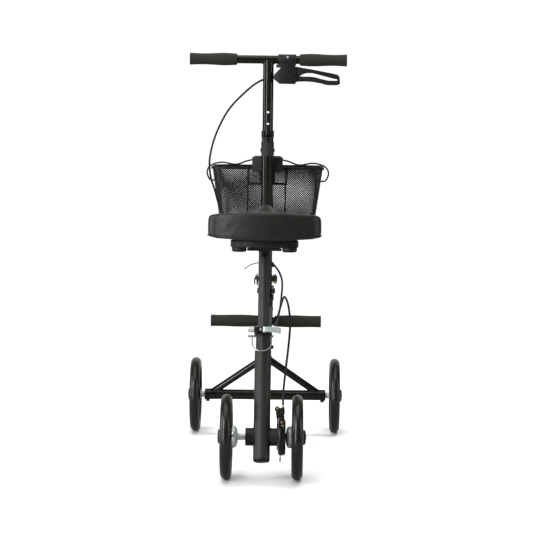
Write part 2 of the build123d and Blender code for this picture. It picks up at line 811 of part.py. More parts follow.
band_bottom = 672.0
band_top = 707.0
with BuildPart() as column_band:
    bar_along(steer_plane, band_bottom, band_top, 17.4)
    with BuildSketch(Plane(origin=on_column(plunger_height), x_dir=(1, 0, 0), z_dir=steer_plane.y_dir)):
        Circle(8.5)
    extrude(amount=24.5)
    bar_along(steer_plane, band_bottom, band_top, column_radius, mode=Mode.SUBTRACT)
    with BuildSketch(Plane(origin=on_column(plunger_height), x_dir=(1, 0, 0), z_dir=steer_plane.y_dir)):
        Circle(4 + running_gap)
    extrude(amount=30, mode=Mode.SUBTRACT)
pieces["column_band"] = column_band

with BuildPart() as height_plunger:
    plunger_plane = Plane(origin=on_column(plunger_height), x_dir=(1, 0, 0), z_dir=steer_plane.y_dir)
    with BuildSketch(plunger_plane.offset(14.8)):
        Circle(4)
    extrude(amount=22)
    with BuildSketch(plunger_plane.offset(33.5)):
        Circle(9.5)
    extrude(amount=11)
    fillet(height_plunger.faces().sort_by(Axis.Y)[-1].edges(), 2)
pieces["height_plunger"] = height_plunger

latch_height = 333.0
latch_x = 26.5
latch_plate = 3.5
finger_bar = -22.8  # from the column's axis to the middle of the bar that is pressed
with BuildPart() as fold_latch:
    latch_origin = on_column(latch_height, x=-latch_x)
    latch_plane = Plane(origin=latch_origin, x_dir=steer_plane.y_dir, z_dir=(1, 0, 0))
    for start in (0.0, 2 * latch_x - latch_plate):
        with BuildSketch(latch_plane.offset(start)):
            with BuildLine():
                Polyline(
                    (-9, 9), (7, 9), (8, -14), (2, -19),
                    (-2, -16), (-3, -7), (-12, -10), (-14, -4), close=True,
                )
            make_face()
            with Locations((finger_bar + 6, 1)):
                Rectangle(15, 13)
        extrude(amount=latch_plate)
    with BuildSketch(latch_plane):
        with Locations((finger_bar, 1)):
            Rectangle(3, 13)
    extrude(amount=2 * latch_x)
    bar_across(on_column(latch_height), -30, 30, 4 + running_gap, mode=Mode.SUBTRACT)
pieces["fold_latch"] = fold_latch

# Pivot studs for the latch, and the bolt heads on the clamp band.
with BuildPart() as column_bolts:
    for side in (-1, 1):
        bar_across(on_column(latch_height), *sorted((side * 15.5, side * (latch_x + 0.8))), 4)
        bar_across(on_column(latch_height), *sorted((side * (latch_x + 0.8), side * (latch_x + 3.5))), 6)
        bar_across(on_column(685), *sorted((side * 16.4, side * 19.3)), 4.5)
    bar_along(steer_plane, latch_height - 10, latch_height + 10, column_radius, mode=Mode.SUBTRACT)
    bar_along(steer_plane, band_bottom, band_top, 17.4, mode=Mode.SUBTRACT)
pieces["column_bolts"] = column_bolts

with BuildPart() as cable_tie:
    bar_along(steer_plane, 369, 374, column_radius + 1.4)
    bar_along(steer_plane, 369, 374, column_radius, mode=Mode.SUBTRACT)
    with BuildSketch(Plane(origin=on_column(369, 3, x=17))):
        Rectangle(6, 8)
    extrude(amount=6)
    bar_along(steer_plane, 360, 380, column_radius, mode=Mode.SUBTRACT)
pieces["cable_tie"] = cable_tie

# ---------------------------------------------------------------- basket
bracket_low = 720.0
bracket_high = 761.0
bracket_front = 599.0
with BuildPart() as basket_bracket:
    with BuildSketch(Plane(origin=(0, bracket_front - 12, bracket_low))):
        Rectangle(83, 24)
    extrude(amount=bracket_high - bracket_low)
    with BuildSketch(Plane(origin=(0, bracket_front - 26, bracket_low + 6))):
        Rectangle(34, 30)
    extrude(amount=bracket_high - bracket_low - 12)
    bar_along(steer_plane, 600, 700, column_radius, mode=Mode.SUBTRACT)
    with BuildSketch(Plane(origin=(0, 540, bracket_low - 10))):
        Rectangle(60, 40)
    extrude(amount=80, mode=Mode.SUBTRACT)
pieces["basket_bracket"] = basket_bracket


def basket_section(height, grow):
    """Sketch plane and sides of the basket at a height, grown outwards."""
    share = (height - basket_floor) / (basket_rim - basket_floor)
    width = basket_width - basket_taper * (1 - share) + 2 * grow
    depth = basket_depth - basket_taper * (1 - share) + 2 * grow
    return Plane(origin=(0, basket_middle, height)), width, depth


basket_corner = 45.0
rim_band = 5.0  # height of the rolled rim, which also stands half of this proud all round
hook_x = 52.0
hook_y = 603.5
hook_low = 688.0
bail_pivot = Vector(0, 705, 693)
bail_radius = 1.8
with BuildPart() as basket_shell:
    for low, grow, mode in ((basket_floor - 2, 0, Mode.ADD), (basket_floor, -basket_wall, Mode.SUBTRACT)):
        for height in (low, basket_rim):
            plane, width, depth = basket_section(height, grow)
            with BuildSketch(plane):
                RectangleRounded(width, depth, basket_corner + grow)
        loft(mode=mode)
    pin_hole = bail_radius + running_gap
    bar_across(bail_pivot, -basket_width / 2, basket_width / 2, pin_hole, mode=Mode.SUBTRACT)
pieces["basket_shell"] = basket_shell

with BuildPart() as basket_frame:
    plane, width, depth = basket_section(basket_rim, 0)
    with BuildSketch(plane.offset(-rim_band)):
        RectangleRounded(width + rim_band, depth + rim_band, basket_corner + 2)
        RectangleRounded(width, depth, basket_corner, mode=Mode.SUBTRACT)
    extrude(amount=rim_band)
    for start, end in (
        (Vector(-hook_x, hook_y, hook_low), Vector(-hook_x, hook_y, basket_rim - 2)),
        (Vector(hook_x, hook_y, hook_low), Vector(hook_x, hook_y, basket_rim - 2)),
        (Vector(-hook_x - 2, hook_y, hook_low), Vector(hook_x + 2, hook_y, hook_low)),
    ):
        bar_between(start, end, 2.6)
    with BuildSketch(Plane(origin=(0, hook_y, hook_low), x_dir=(1, 0, 0))):
        Rectangle(40, 4)
    extrude(amount=bracket_high - hook_low + 3)
    # Two lips rest on top of the bracket, one each side of the height knob.
    with BuildSketch(Plane(origin=(0, hook_y, bracket_high + 0.5))):
        with Locations((-27, -9), (27, -9)):
            Rectangle(18, 22)
        Rectangle(72, 4)
    extrude(amount=2.5)
pieces["basket_frame"] = basket_frame

# The wire handle hooks round the rim at each side and lies behind the basket.
with BuildPart() as basket_handle:
    half_path = [
        (157, 705, 693),
        (165, 704, 700),
        (169.5, 701, 714),
        (164, 684, 729),
        (149, 640, 740),
        (122, 598, 746),
        (85, 596, 741),
        (50, 602, 752),
    ]
    swept(
        half_path + [(0, 612, 758)] + [(-x, y, z) for x, y, z in reversed(half_path)],
        bail_radius,
    )
    for side in (-1, 1):
        bar_across(bail_pivot, *sorted((side * 145, side * 158)), bail_radius)
pieces["basket_handle"] = basket_handle

# ---------------------------------------------------------------- handlebar
bar_centre = on_column(bar_height)
with BuildPart() as handlebar:
    bar_across(bar_centre, -bar_length / 2 + 2, bar_length / 2 - 2, bar_radius)
    bar_along(steer_plane, stem_bottom, bar_height, stem_radius)
    bar_along(steer_plane, stem_bottom, bar_height - 14, stem_radius - 1.6, mode=Mode.SUBTRACT)
    for step in range(-3, 4):
        height = plunger_height + step * stem_hole_pitch
        with BuildSketch(Plane(origin=on_column(height), x_dir=(1, 0, 0), z_dir=steer_plane.y_dir)):
            Circle(stem_hole_radius)
        extrude(amount=20, both=True, mode=Mode.SUBTRACT)
pieces["handlebar"] = handlebar

pieces["handlebar_grips"] = foam_grips(
    bar_centre,
    bar_length / 2 - grip_length,
    bar_length / 2,
    bar_radius,
    [14.5, 15.6, 16.8, 15.8, 14.8, 14.6, 16.2],
)

# The lever hangs below the bar on a pivot that runs fore and aft.
lever_x = 66.0
lever_z = 986.0
lever_thickness = 12.0
lever_y = bar_centre.Y
lever_face = Plane(origin=(0, lever_y, 0), x_dir=(1, 0, 0), z_dir=(0, -1, 0))
with BuildPart() as lever_housing:
    bar_across(bar_centre, 26, 74, 14.6)
    with BuildSketch(lever_face):
        with BuildLine():
            Polyline(
                (30, 1022), (74, 1022), (72, 1004), (74, 986), (78, 966), (71, 957.5), (30, 958),
                (15, 970), (15, 981.5), (32, 999), (32, 1001), (21, 1001), (21, 1009), (30, 1010),
                close=True,
            )
        make_face()
    extrude(amount=11, both=True)
    bar_across(bar_centre, 20, 80, bar_radius, mode=Mode.SUBTRACT)
    with BuildSketch(lever_face):
        with BuildLine():
            Polyline((54, 1007), (80, 1007), (80, 950), (54, 950), close=True)
        make_face()
    extrude(amount=lever_thickness / 2 + 0.3, both=True, mode=Mode.SUBTRACT)
    with BuildSketch(lever_face):
        with Locations((lever_x, lever_z)):
            Circle(3)
    extrude(amount=20, both=True, mode=Mode.SUBTRACT)
pieces["lever_housing"] = lever_housing

with BuildPart() as brake_lever:
    with BuildSketch(lever_face):
        with Locations((lever_x, lever_z)):
            Circle(10)
        with BuildLine():
            Polyline(
                (lever_x, 1003), (76, 1004), (86, 1002), (97, 1000), (111, 998), (133, 994), (156, 990),
                (177, 986), (186, 983), (190.3, 978), (192, 961.5), (190, 958), (182, 955.7), (158, 955.7),
                (141, 960), (118, 964), (97, 965), (78, 964), (lever_x, 966), close=True,
            )
        make_face()
        with BuildLine():
            Polyline(
                (84, 978.7), (91, 983.7), (103, 987.3), (118, 987.2),
                (141, 981.3), (171, 974), (184, 971.3),
                (185, 969.2), (182, 967.8), (160, 968), (141, 972), (126, 976.3), (111, 978), (94, 977.7),
                close=True,
            )
        make_face(mode=Mode.SUBTRACT)
    extrude(amount=lever_thickness / 2, both=True)
    with BuildSketch(lever_face):
        with Locations((lever_x, lever_z)):
            Circle(3 + running_gap)
    extrude(amount=20, both=True, mode=Mode.SUBTRACT)
pieces["brake_lever"] = brake_lever

with BuildPart() as lever_bolts:
    with BuildSketch(lever_face):
        with Locations((lever_x, lever_z)):
            Circle(3)
    extrude(amount=11, both=True)
    with BuildSketch(lever_face.offset(14.4)):
        with Locations((51, 1028)):
            Circle(3)
    extrude(amount=2.6)
    bar_across(bar_centre, 26, 74, 14.6, mode=Mode.SUBTRACT)
pieces["lever_bolts"] = lever_bolts

# ---------------------------------------------------------------- brake cable
with BuildPart() as brake_cable_upper:
    swept(
        [
            (13.5, 511, 977),
            (-6, 507, 971),
            (-76, 512, 937),
            (-117, 520, 893),
            (-146, 528, 832),
            (-155, 534, 752),
            (-151, 540, 705),
            (-141, 545, 675),
            (-128, 550, 625),
        ],
        cable_radius,
    )
pieces["brake_cable_upper"] = brake_cable_upper

with BuildPart() as brake_cable_lower:
    swept(
        [
            (24, 450, 318),
            (34, 380, 352),
            (45, 300, 398),
            (51, 240, 415),
            (60, 180, 400),
            (65, 135, 360),
            (60, 85, 320),
            (53, 30, 257),
            (50, -20, 210),
            (50, stop_point.Y, stop_point.Z + 10),
        ],
        cable_radius,
    )
pieces["brake_cable_lower"] = brake_cable_lower

# ---------------------------------------------------------------- export
os.makedirs("parts", exist_ok=True)
for name, piece in pieces.items():
    piece.part.label = name
    export_step(piece.part, f"parts/{name}.step")
print(len(pieces), "pieces")
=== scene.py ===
import json
import math

import bmesh
import bpy
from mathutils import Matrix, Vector

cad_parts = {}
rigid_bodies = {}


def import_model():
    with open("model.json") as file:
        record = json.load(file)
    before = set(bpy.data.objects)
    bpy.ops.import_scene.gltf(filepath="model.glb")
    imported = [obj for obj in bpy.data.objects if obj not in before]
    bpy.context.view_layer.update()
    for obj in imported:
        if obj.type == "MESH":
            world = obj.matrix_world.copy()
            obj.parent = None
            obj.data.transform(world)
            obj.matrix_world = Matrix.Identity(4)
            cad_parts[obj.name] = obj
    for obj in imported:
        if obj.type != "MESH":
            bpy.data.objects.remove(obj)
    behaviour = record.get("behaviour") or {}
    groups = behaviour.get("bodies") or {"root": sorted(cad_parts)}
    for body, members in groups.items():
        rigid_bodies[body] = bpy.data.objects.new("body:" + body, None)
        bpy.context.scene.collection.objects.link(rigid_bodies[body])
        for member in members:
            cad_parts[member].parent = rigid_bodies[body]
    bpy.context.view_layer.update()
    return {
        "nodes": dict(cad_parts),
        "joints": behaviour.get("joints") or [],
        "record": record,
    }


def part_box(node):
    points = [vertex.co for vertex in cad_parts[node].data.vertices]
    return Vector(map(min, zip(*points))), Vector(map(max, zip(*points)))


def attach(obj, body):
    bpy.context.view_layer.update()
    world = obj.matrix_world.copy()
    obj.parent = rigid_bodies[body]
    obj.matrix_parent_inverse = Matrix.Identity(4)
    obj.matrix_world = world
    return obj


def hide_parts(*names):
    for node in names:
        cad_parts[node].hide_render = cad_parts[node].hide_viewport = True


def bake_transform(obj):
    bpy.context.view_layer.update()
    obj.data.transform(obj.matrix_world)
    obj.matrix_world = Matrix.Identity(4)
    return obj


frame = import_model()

MM = 0.001
joints = {joint["name"]: joint for joint in frame["joints"]}
column_up = Vector(joints["steer"]["axis"])
column_forward = Vector((1, 0, 0)).cross(column_up) * -1
front_axle = Vector(joints["steer"]["pos_m"])
seat_up = Vector(joints["seat_height"]["axis"])
seat_forward = Vector((1, 0, 0)).cross(seat_up) * -1
rear_axle = Vector((0, 0, joints["rear_left_spin"]["pos_m"][2]))
seat_tube_foot = rear_axle - Vector((0, 12 * MM, 0))


def on_column(height, forward=0.0, x=0.0):
    """The point at a height in mm along the steering axis, and forward of it."""
    return front_axle + (column_up * height + column_forward * forward) * MM + Vector((x * MM, 0, 0))


def on_seat_tube(height, forward=0.0, x=0.0):
    """The point at a height in mm along the seat tube, and forward of its axis."""
    return seat_tube_foot + (seat_up * height + seat_forward * forward) * MM + Vector((x * MM, 0, 0))


def mm(*values):
    """A point given in millimetres."""
    return Vector(values) * MM


# ---------------------------------------------------------------- mesh helpers
def new_object(name, verts, faces, smooth=True):
    """A mesh object in the scene."""
    mesh = bpy.data.meshes.new(name)
    mesh.from_pydata([tuple(v) for v in verts], [], faces)
    mesh.update()
    if smooth:
        mesh.shade_smooth()
    obj = bpy.data.objects.new(name, mesh)
    bpy.context.scene.collection.objects.link(obj)
    return obj


def curve_through(points, steps=8, closed=False):
    """Points on a smooth curve through the given ones."""
    points = [Vector(p) for p in points]
    count = len(points)
    out = []
    spans = count if closed else count - 1
    for i in range(spans):
        p1, p2 = points[i], points[(i + 1) % count]
        p0 = points[i - 1] if closed or i > 0 else p1 * 2 - p2
        p3 = points[(i + 2) % count] if closed or i + 2 < count else p2 * 2 - p1
        for s in range(steps):
            t = s / steps
            out.append(
                0.5 * (2 * p1 + (p2 - p0) * t + (2 * p0 - 5 * p1 + 4 * p2 - p3) * t * t
                       + (3 * p1 - p0 - 3 * p2 + p3) * t ** 3)
            )
    if not closed:
        out.append(points[-1])
    return out


def tube_mesh(path, radius, sides=12, closed=False):
    """Vertices and faces of a round tube along a path; radius is a number or a function of 0 to 1."""
    count = len(path)
    tangents = []
    for i in range(count):
        before = path[i - 1] if closed or i > 0 else path[i]
        after = path[(i + 1) % count] if closed or i + 1 < count else path[i]
        tangents.append((after - before).normalized())
    normal = Vector((1, 0, 0)) if abs(tangents[0].x) < 0.8 else Vector((0, 0, 1))
    verts, faces = [], []
    for i, (point, tangent) in enumerate(zip(path, tangents)):
        normal = (normal - tangent * normal.dot(tangent)).normalized()
        side = tangent.cross(normal)
        r = radius(i / (count - 1)) if callable(radius) else radius
        for k in range(sides):
            a = 2 * math.pi * k / sides
            verts.append(point + (normal * math.cos(a) + side * math.sin(a)) * r)
    for i in range(count if closed else count - 1):
        j = (i + 1) % count
        for k in range(sides):
            m = (k + 1) % sides
            faces.append((i * sides + k, i * sides + m, j * sides + m, j * sides + k))
    if not closed:
        faces.append(tuple(reversed(range(sides))))
        faces.append(tuple(range((count - 1) * sides, count * sides)))
    return verts, faces


def tube(name, path, radius, sides=12, closed=False):
    """A round tube along a path, as an object."""
    return new_object(name, *tube_mesh(path, radius, sides, closed))


def merged(name, parts):
    """One object from several (vertices, faces) pairs."""
    verts, faces = [], []
    for part_verts, part_faces in parts:
        offset = len(verts)
        verts += list(part_verts)
        faces += [tuple(i + offset for i in face) for face in part_faces]
    return new_object(name, verts, faces)


def lathe_mesh(origin, axis, profile, segments=48, loop=False):
    """A turned shape about an axis; profile is (distance, radius) in mm, and a radius of 0 is a pole."""
    axis = Vector(axis).normalized()
    first = Vector((0, 0, 1)) if abs(axis.z) < 0.9 else Vector((0, 1, 0))
    u = (first - axis * first.dot(axis)).normalized()
    v = axis.cross(u)
    verts, rings = [], []
    for along, radius in profile:
        centre = origin + axis * along * MM
        if radius == 0:
            rings.append([len(verts)])
            verts.append(centre)
            continue
        rings.append(list(range(len(verts), len(verts) + segments)))
        for k in range(segments):
            a = 2 * math.pi * k / segments
            verts.append(centre + (u * math.cos(a) + v * math.sin(a)) * radius * MM)
    faces = []
    pairs = list(zip(rings, rings[1:] + ([rings[0]] if loop else [])))
    for low, high in pairs[: len(rings) if loop else len(rings) - 1]:
        for k in range(segments):
            m = (k + 1) % segments
            quad = [low[k % len(low)], low[m % len(low)], high[m % len(high)], high[k % len(high)]]
            face = tuple(dict.fromkeys(quad))
            if len(face) > 2:
                faces.append(face)
    return verts, faces


def outlined_mesh(outline, origin, across, up, depth, bevel):
    """A flat plate with softened edges from a closed outline in mm, centred on origin across its depth."""
    normal = across.cross(up)
    count = len(outline)
    middle = sum((Vector(p) for p in outline), Vector((0, 0))) / count
    levels = [(-depth / 2, bevel), (-depth / 2 + bevel, 0), (depth / 2 - bevel, 0), (depth / 2, bevel)]
    verts, faces = [], []
    for offset, inset in levels:
        for x, y in outline:
            p = Vector((x, y))
            p += (middle - p).normalized() * inset
            verts.append(origin + (across * p.x + up * p.y + normal * offset) * MM)
    walls = len(levels) - 1
    for level in range(walls):
        for k in range(count):
            m = (k + 1) % count
            a, b = level * count, (level + 1) * count
            faces.append((a + k, a + m, b + m, b + k))
    faces.append(tuple(reversed(range(count))))
    faces.append(tuple(range(walls * count, (walls + 1) * count)))
    return verts, faces


def tidy_normals(obj):
    """Faces all turned outwards."""
    work = bmesh.new()
    work.from_mesh(obj.data)
    bmesh.ops.recalc_face_normals(work, faces=work.faces)
    work.to_mesh(obj.data)
    work.free()
    return obj


def apply_modifiers(obj):
    """Keeps the modifiers' result as the mesh itself."""
    graph = bpy.context.evaluated_depsgraph_get()
    mesh = bpy.data.meshes.new_from_object(obj.evaluated_get(graph))
    obj.modifiers.clear()
    obj.data = mesh
    return obj


def auto_smooth(obj, degrees=35):
    """Smooth shading that keeps edges sharper than an angle."""
    for polygon in obj.data.polygons:
        polygon.use_smooth = True
    obj.data.set_sharp_from_angle(angle=math.radians(degrees))
    return obj


def turned(name, centre, axis, profile, segments=48, loop=False, sharp=35):
    """A turned object with its sharp edges kept."""
    verts, faces = lathe_mesh(centre, axis, profile, segments, loop)
    return auto_smooth(tidy_normals(new_object(name, verts, faces)), sharp)


def plate(name, outline, centre, across, up, thickness, bevel):
    """A flat plate as an object."""
    verts, faces = outlined_mesh(outline, centre, across, up, thickness, bevel)
    return auto_smooth(tidy_normals(new_object(name, verts, faces)), 35)


def bolt_head(centre, axis, radius, length):
    """Round bolt head with a softened rim, centre on its seat, facing along axis."""
    profile = [(0, 0), (0, radius), (length * 0.7, radius), (length, radius * 0.86), (length, 0)]
    return lathe_mesh(centre, axis, profile, 20)


def bolt_heads(name, heads):
    """Several bolt heads as one object."""
    return auto_smooth(tidy_normals(merged(name, heads)), 35)


# ---------------------------------------------------------------- materials
# Sockets of a colour Mix node, which shares its names between data types.
COLOUR_A, COLOUR_B, COLOUR_RESULT = 6, 7, 2


class Finish:
    """A Principled material whose colour, roughness and bump come from nodes in frame space."""

    def __init__(self, name, colour, rough, metal=0.0, specular=0.5):
        self.material = bpy.data.materials.new(name)
        self.material.use_nodes = True
        self.tree = self.material.node_tree
        self.bsdf = self.tree.nodes["Principled BSDF"]
        self.bsdf.inputs["Metallic"].default_value = metal
        self.bsdf.inputs["Specular IOR Level"].default_value = specular
        self.coords = self.tree.nodes.new("ShaderNodeTexCoord").outputs["Object"]
        self.colour = colour
        self.rough = rough
        self.normal = None
        self.colour_out = None
        self.rough_out = None

    def node(self, kind, **settings):
        """A new node with some of its settings."""
        made = self.tree.nodes.new(kind)
        for key, value in settings.items():
            setattr(made, key, value)
        return made

    def link(self, a, b):
        self.tree.links.new(a, b)

    def noise(self, scale, detail=3.0, stretch=None):
        made = self.node("ShaderNodeTexNoise")
        made.inputs["Scale"].default_value = scale
        made.inputs["Detail"].default_value = detail
        source = self.coords
        if stretch:
            mapping = self.node("ShaderNodeMapping")
            mapping.inputs["Scale"].default_value = stretch
            self.link(source, mapping.inputs["Vector"])
            source = mapping.outputs["Vector"]
        self.link(source, made.inputs["Vector"])
        return made.outputs["Fac"]

    def cells(self, scale, feature="F1"):
        made = self.node("ShaderNodeTexVoronoi", feature=feature)
        made.inputs["Scale"].default_value = scale
        self.link(self.coords, made.inputs["Vector"])
        return made.outputs["Distance"]

    def spread(self, source, low, high, start=0.3, end=0.7):
        """Stretches start to end onto low to high."""
        made = self.node("ShaderNodeMapRange")
        made.inputs["From Min"].default_value = start
        made.inputs["From Max"].default_value = end
        made.inputs["To Min"].default_value = low
        made.inputs["To Max"].default_value = high
        self.link(source, made.inputs["Value"])
        return made.outputs["Result"]

    def mixed(self, factor, colour):
        """Mixes another colour in by a factor."""
        mix = self.node("ShaderNodeMix", data_type="RGBA")
        self.link(factor, mix.inputs["Factor"])
        if self.colour_out:
            self.link(self.colour_out, mix.inputs[COLOUR_A])
        else:
            mix.inputs[COLOUR_A].default_value = list(self.colour) + [1]
        mix.inputs[COLOUR_B].default_value = list(colour) + [1]
        self.colour_out = mix.outputs[COLOUR_RESULT]
        return self

    def mottle(self, scale, amount, detail=4.0):
        """Colour varies lighter and darker with a noise."""
        light = [c * (1 + amount) for c in self.colour]
        self.colour = [c * (1 - amount) for c in self.colour]
        return self.mixed(self.spread(self.noise(scale, detail), 0, 1), light)

    def blotch(self, colour, scale, start, end, detail=3.0):
        """A second colour where a noise is high."""
        return self.mixed(self.spread(self.noise(scale, detail), 0, 1, start, end), colour)

    def worn_edges(self, colour, start, end):
        """A lighter colour on sharp outer edges."""
        point = self.node("ShaderNodeNewGeometry").outputs["Pointiness"]
        return self.mixed(self.spread(point, 0, 0.55, start, end), colour)

    def rough_spread(self, scale, amount, detail=3.0):
        """Roughness varies with a noise."""
        self.rough_out = self.spread(self.noise(scale, detail), self.rough - amount, self.rough + amount)
        return self

    def bump(self, height, distance, strength=0.5):
        """Adds a relief; distance is in millimetres."""
        made = self.node("ShaderNodeBump")
        made.inputs["Strength"].default_value = strength
        made.inputs["Distance"].default_value = distance * MM
        self.link(height, made.inputs["Height"])
        if self.normal:
            self.link(self.normal, made.inputs["Normal"])
        self.normal = made.outputs["Normal"]
        return self

    def done(self):
        """Links up what was made and gives the material."""
        if self.colour_out:
            self.link(self.colour_out, self.bsdf.inputs["Base Color"])
        else:
            self.bsdf.inputs["Base Color"].default_value = list(self.colour) + [1]
        if self.rough_out:
            self.link(self.rough_out, self.bsdf.inputs["Roughness"])
        else:
            self.bsdf.inputs["Roughness"].default_value = self.rough
        if self.normal:
            self.link(self.normal, self.bsdf.inputs["Normal"])
        return self.material


def frame_paint():
    """Satin black powder coat with a fine orange peel."""
    f = Finish("frame_paint", (0.0135, 0.0135, 0.0105), 0.5, specular=0.36)
    f.mottle(60, 0.12).worn_edges((0.05, 0.048, 0.045), 0.56, 0.68)
    f.rough_spread(90, 0.06).bump(f.noise(900, 2), 0.05, 0.35).bump(f.noise(2600, 2), 0.02, 0.3)
    return f.done()


def column_paint():
    """Gloss black paint."""
    f = Finish("column_paint", (0.0065, 0.0064, 0.0042), 0.11, specular=0.36)
    f.mottle(45, 0.15).rough_spread(120, 0.04).bump(f.noise(700, 2), 0.012, 0.2)
    return f.done()


def black_plastic():
    """Moulded black plastic with a spark-eroded grain."""
    f = Finish("black_plastic", (0.0095, 0.0095, 0.0075), 0.5, specular=0.3)
    f.mottle(80, 0.15).worn_edges((0.022, 0.022, 0.019), 0.6, 0.75)
    f.rough_spread(150, 0.07).bump(f.cells(1500), 0.05, 0.3)
    return f.done()


def grey_band():
    """Matt dark grey moulded collar."""
    f = Finish("grey_band", (0.022, 0.022, 0.021), 0.62, specular=0.35)
    f.mottle(80, 0.12).rough_spread(150, 0.07).bump(f.cells(1400), 0.06, 0.35)
    return f.done()


def black_steel():
    """Black-plated steel hardware."""
    f = Finish("black_steel", (0.007, 0.007, 0.0055), 0.34, specular=0.45)
    f.mottle(150, 0.25).worn_edges((0.035, 0.032, 0.026), 0.6, 0.75)
    f.rough_spread(300, 0.08).bump(f.noise(1200, 3), 0.03, 0.3)
    return f.done()


def zinc():
    """Bright zinc plate with a faint blue-green cast."""
    f = Finish("zinc", (0.80, 0.84, 0.83), 0.3, metal=0.55)
    f.mottle(70, 0.12).blotch((0.40, 0.60, 0.60), 55, 0.52, 0.72)
    f.rough_spread(220, 0.09).bump(f.noise(500, 4, stretch=(8, 1, 1)), 0.02, 0.3)
    return f.done()


def chrome_wire():
    """Chromed spring wire."""
    f = Finish("chrome_wire", (0.48, 0.48, 0.47), 0.2, metal=0.7)
    f.mottle(200, 0.1).rough_spread(300, 0.05).bump(f.noise(1500, 2), 0.01, 0.2)
    return f.done()


def brass():
    """Yellow-passivated steel and brass."""
    f = Finish("brass", (0.62, 0.43, 0.15), 0.3, metal=1.0)
    f.mottle(200, 0.2).rough_spread(300, 0.08).bump(f.noise(1500, 2), 0.02, 0.25)
    return f.done()


def copper():
    """Copper-coloured crimp."""
    f = Finish("copper", (0.66, 0.27, 0.12), 0.32, metal=1.0)
    f.mottle(200, 0.2).rough_spread(300, 0.08).bump(f.noise(1500, 2), 0.02, 0.25)
    return f.done()


def tyre_rubber():
    """Solid black polyurethane, slightly polished with faint scuffs on the tread."""
    f = Finish("tyre_rubber", (0.0095, 0.0094, 0.0072), 0.25, specular=0.42)
    f.mottle(30, 0.12).blotch((0.018, 0.018, 0.014), 120, 0.66, 0.9, 5)
    f.rough_spread(70, 0.03).bump(f.noise(300, 2), 0.008, 0.15).bump(f.noise(2200, 2), 0.006, 0.2)
    return f.done()


def foam():
    """Closed-cell foam rubber."""
    f = Finish("foam", (0.0285, 0.0275, 0.022), 0.9, specular=0.2)
    f.mottle(700, 0.2, 6).rough_spread(400, 0.06)
    f.bump(f.cells(1700), 0.12, 0.5).bump(f.noise(5200, 3), 0.05, 0.5)
    return f.done()


def vinyl():
    """Smooth black vinyl with a fine leather grain."""
    f = Finish("vinyl", (0.0125, 0.0135, 0.0105), 0.42, specular=0.36)
    f.mottle(35, 0.14).rough_spread(60, 0.06)
    f.bump(f.cells(900, "DISTANCE_TO_EDGE"), 0.05, 0.35).bump(f.noise(120, 4), 0.12, 0.2)
    f.bump(f.noise(3200, 2), 0.02, 0.3)
    return f.done()


def natural_nylon():
    """Uncoloured nylon of the cable tie."""
    f = Finish("natural_nylon", (0.20, 0.20, 0.17), 0.4)
    f.mottle(200, 0.1).rough_spread(300, 0.05).bump(f.cells(2500), 0.02, 0.3)
    return f.done()


def cable_cover():
    """Extruded cable outer."""
    f = Finish("cable_cover", (0.006, 0.006, 0.0045), 0.4, specular=0.3)
    f.mottle(300, 0.15).rough_spread(300, 0.06).bump(f.noise(1800, 2), 0.02, 0.3)
    return f.done()


def mesh_coat():
    """Dipped black coating on the basket's steel."""
    f = Finish("mesh_coat", (0.007, 0.007, 0.0055), 0.5, specular=0.25)
    f.mottle(250, 0.2).rough_spread(300, 0.08).bump(f.noise(1500, 3), 0.03, 0.35)
    return f.done()


slot_finish = {
    "frame_paint": frame_paint(),
    "column_paint": column_paint(),
    "black_plastic": black_plastic(),
    "zinc": zinc(),
    "chrome_wire": chrome_wire(),
    "black_steel": black_steel(),
    "brass": brass(),
    "tyre_rubber": tyre_rubber(),
    "foam": foam(),
    "vinyl": vinyl(),
    "cable": cable_cover(),
    "mesh": mesh_coat(),
    "copper": copper(),
}
node_slot = {entry["node"]: entry["material_slot"] for entry in frame["record"]["subparts"]}


def paint_nodes():
    """Every CAD node gets its slot's finish, and four of them one that suits the photo better."""
    for node, obj in frame["nodes"].items():
        obj.data.materials.clear()
        obj.data.materials.append(slot_finish[node_slot[node]])
        auto_smooth(obj, 30)
    others = {
        "column_band": grey_band(), "fork_frame": slot_finish["column_paint"],
        "foot_peg_bar": slot_finish["column_paint"], "brake_fittings": slot_finish["black_steel"],
    }
    for node, material in others.items():
        frame["nodes"][node].data.materials[0] = material


paint_nodes()


def finish(obj, slot, body, *replaced):
    """Gives a new piece its material, its body and the CAD nodes it stands for."""
    obj.data.materials.clear()
    obj.data.materials.append(slot_finish[slot])
    if body:
        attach(obj, body)
    if replaced:
        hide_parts(*replaced)
    return obj


# ---------------------------------------------------------------- rounded parts
def softened(node, width, segments=2):
    """The same part with its hard edges rounded over, standing in for the CAD node."""
    source = frame["nodes"][node]
    work = bmesh.new()
    work.from_mesh(source.data)
    bmesh.ops.remove_doubles(work, verts=work.verts, dist=0.01 * MM)
    bmesh.ops.dissolve_limit(work, angle_limit=math.radians(1.0), verts=work.verts, edges=work.edges)
    mesh = bpy.data.meshes.new(node + "_softened")
    work.to_mesh(mesh)
    work.free()
    obj = bpy.data.objects.new(node + "_softened", mesh)
    bpy.context.scene.collection.objects.link(obj)
    bevel = obj.modifiers.new("edges", "BEVEL")
    bevel.width = width * MM
    bevel.segments = segments
    bevel.limit_method = "ANGLE"
    bevel.angle_limit = math.radians(38)
    bevel.use_clamp_overlap = True
    apply_modifiers(obj)
    auto_smooth(obj, 32)
    finish(obj, node_slot[node], source.parent.name.split(":", 1)[1], node)


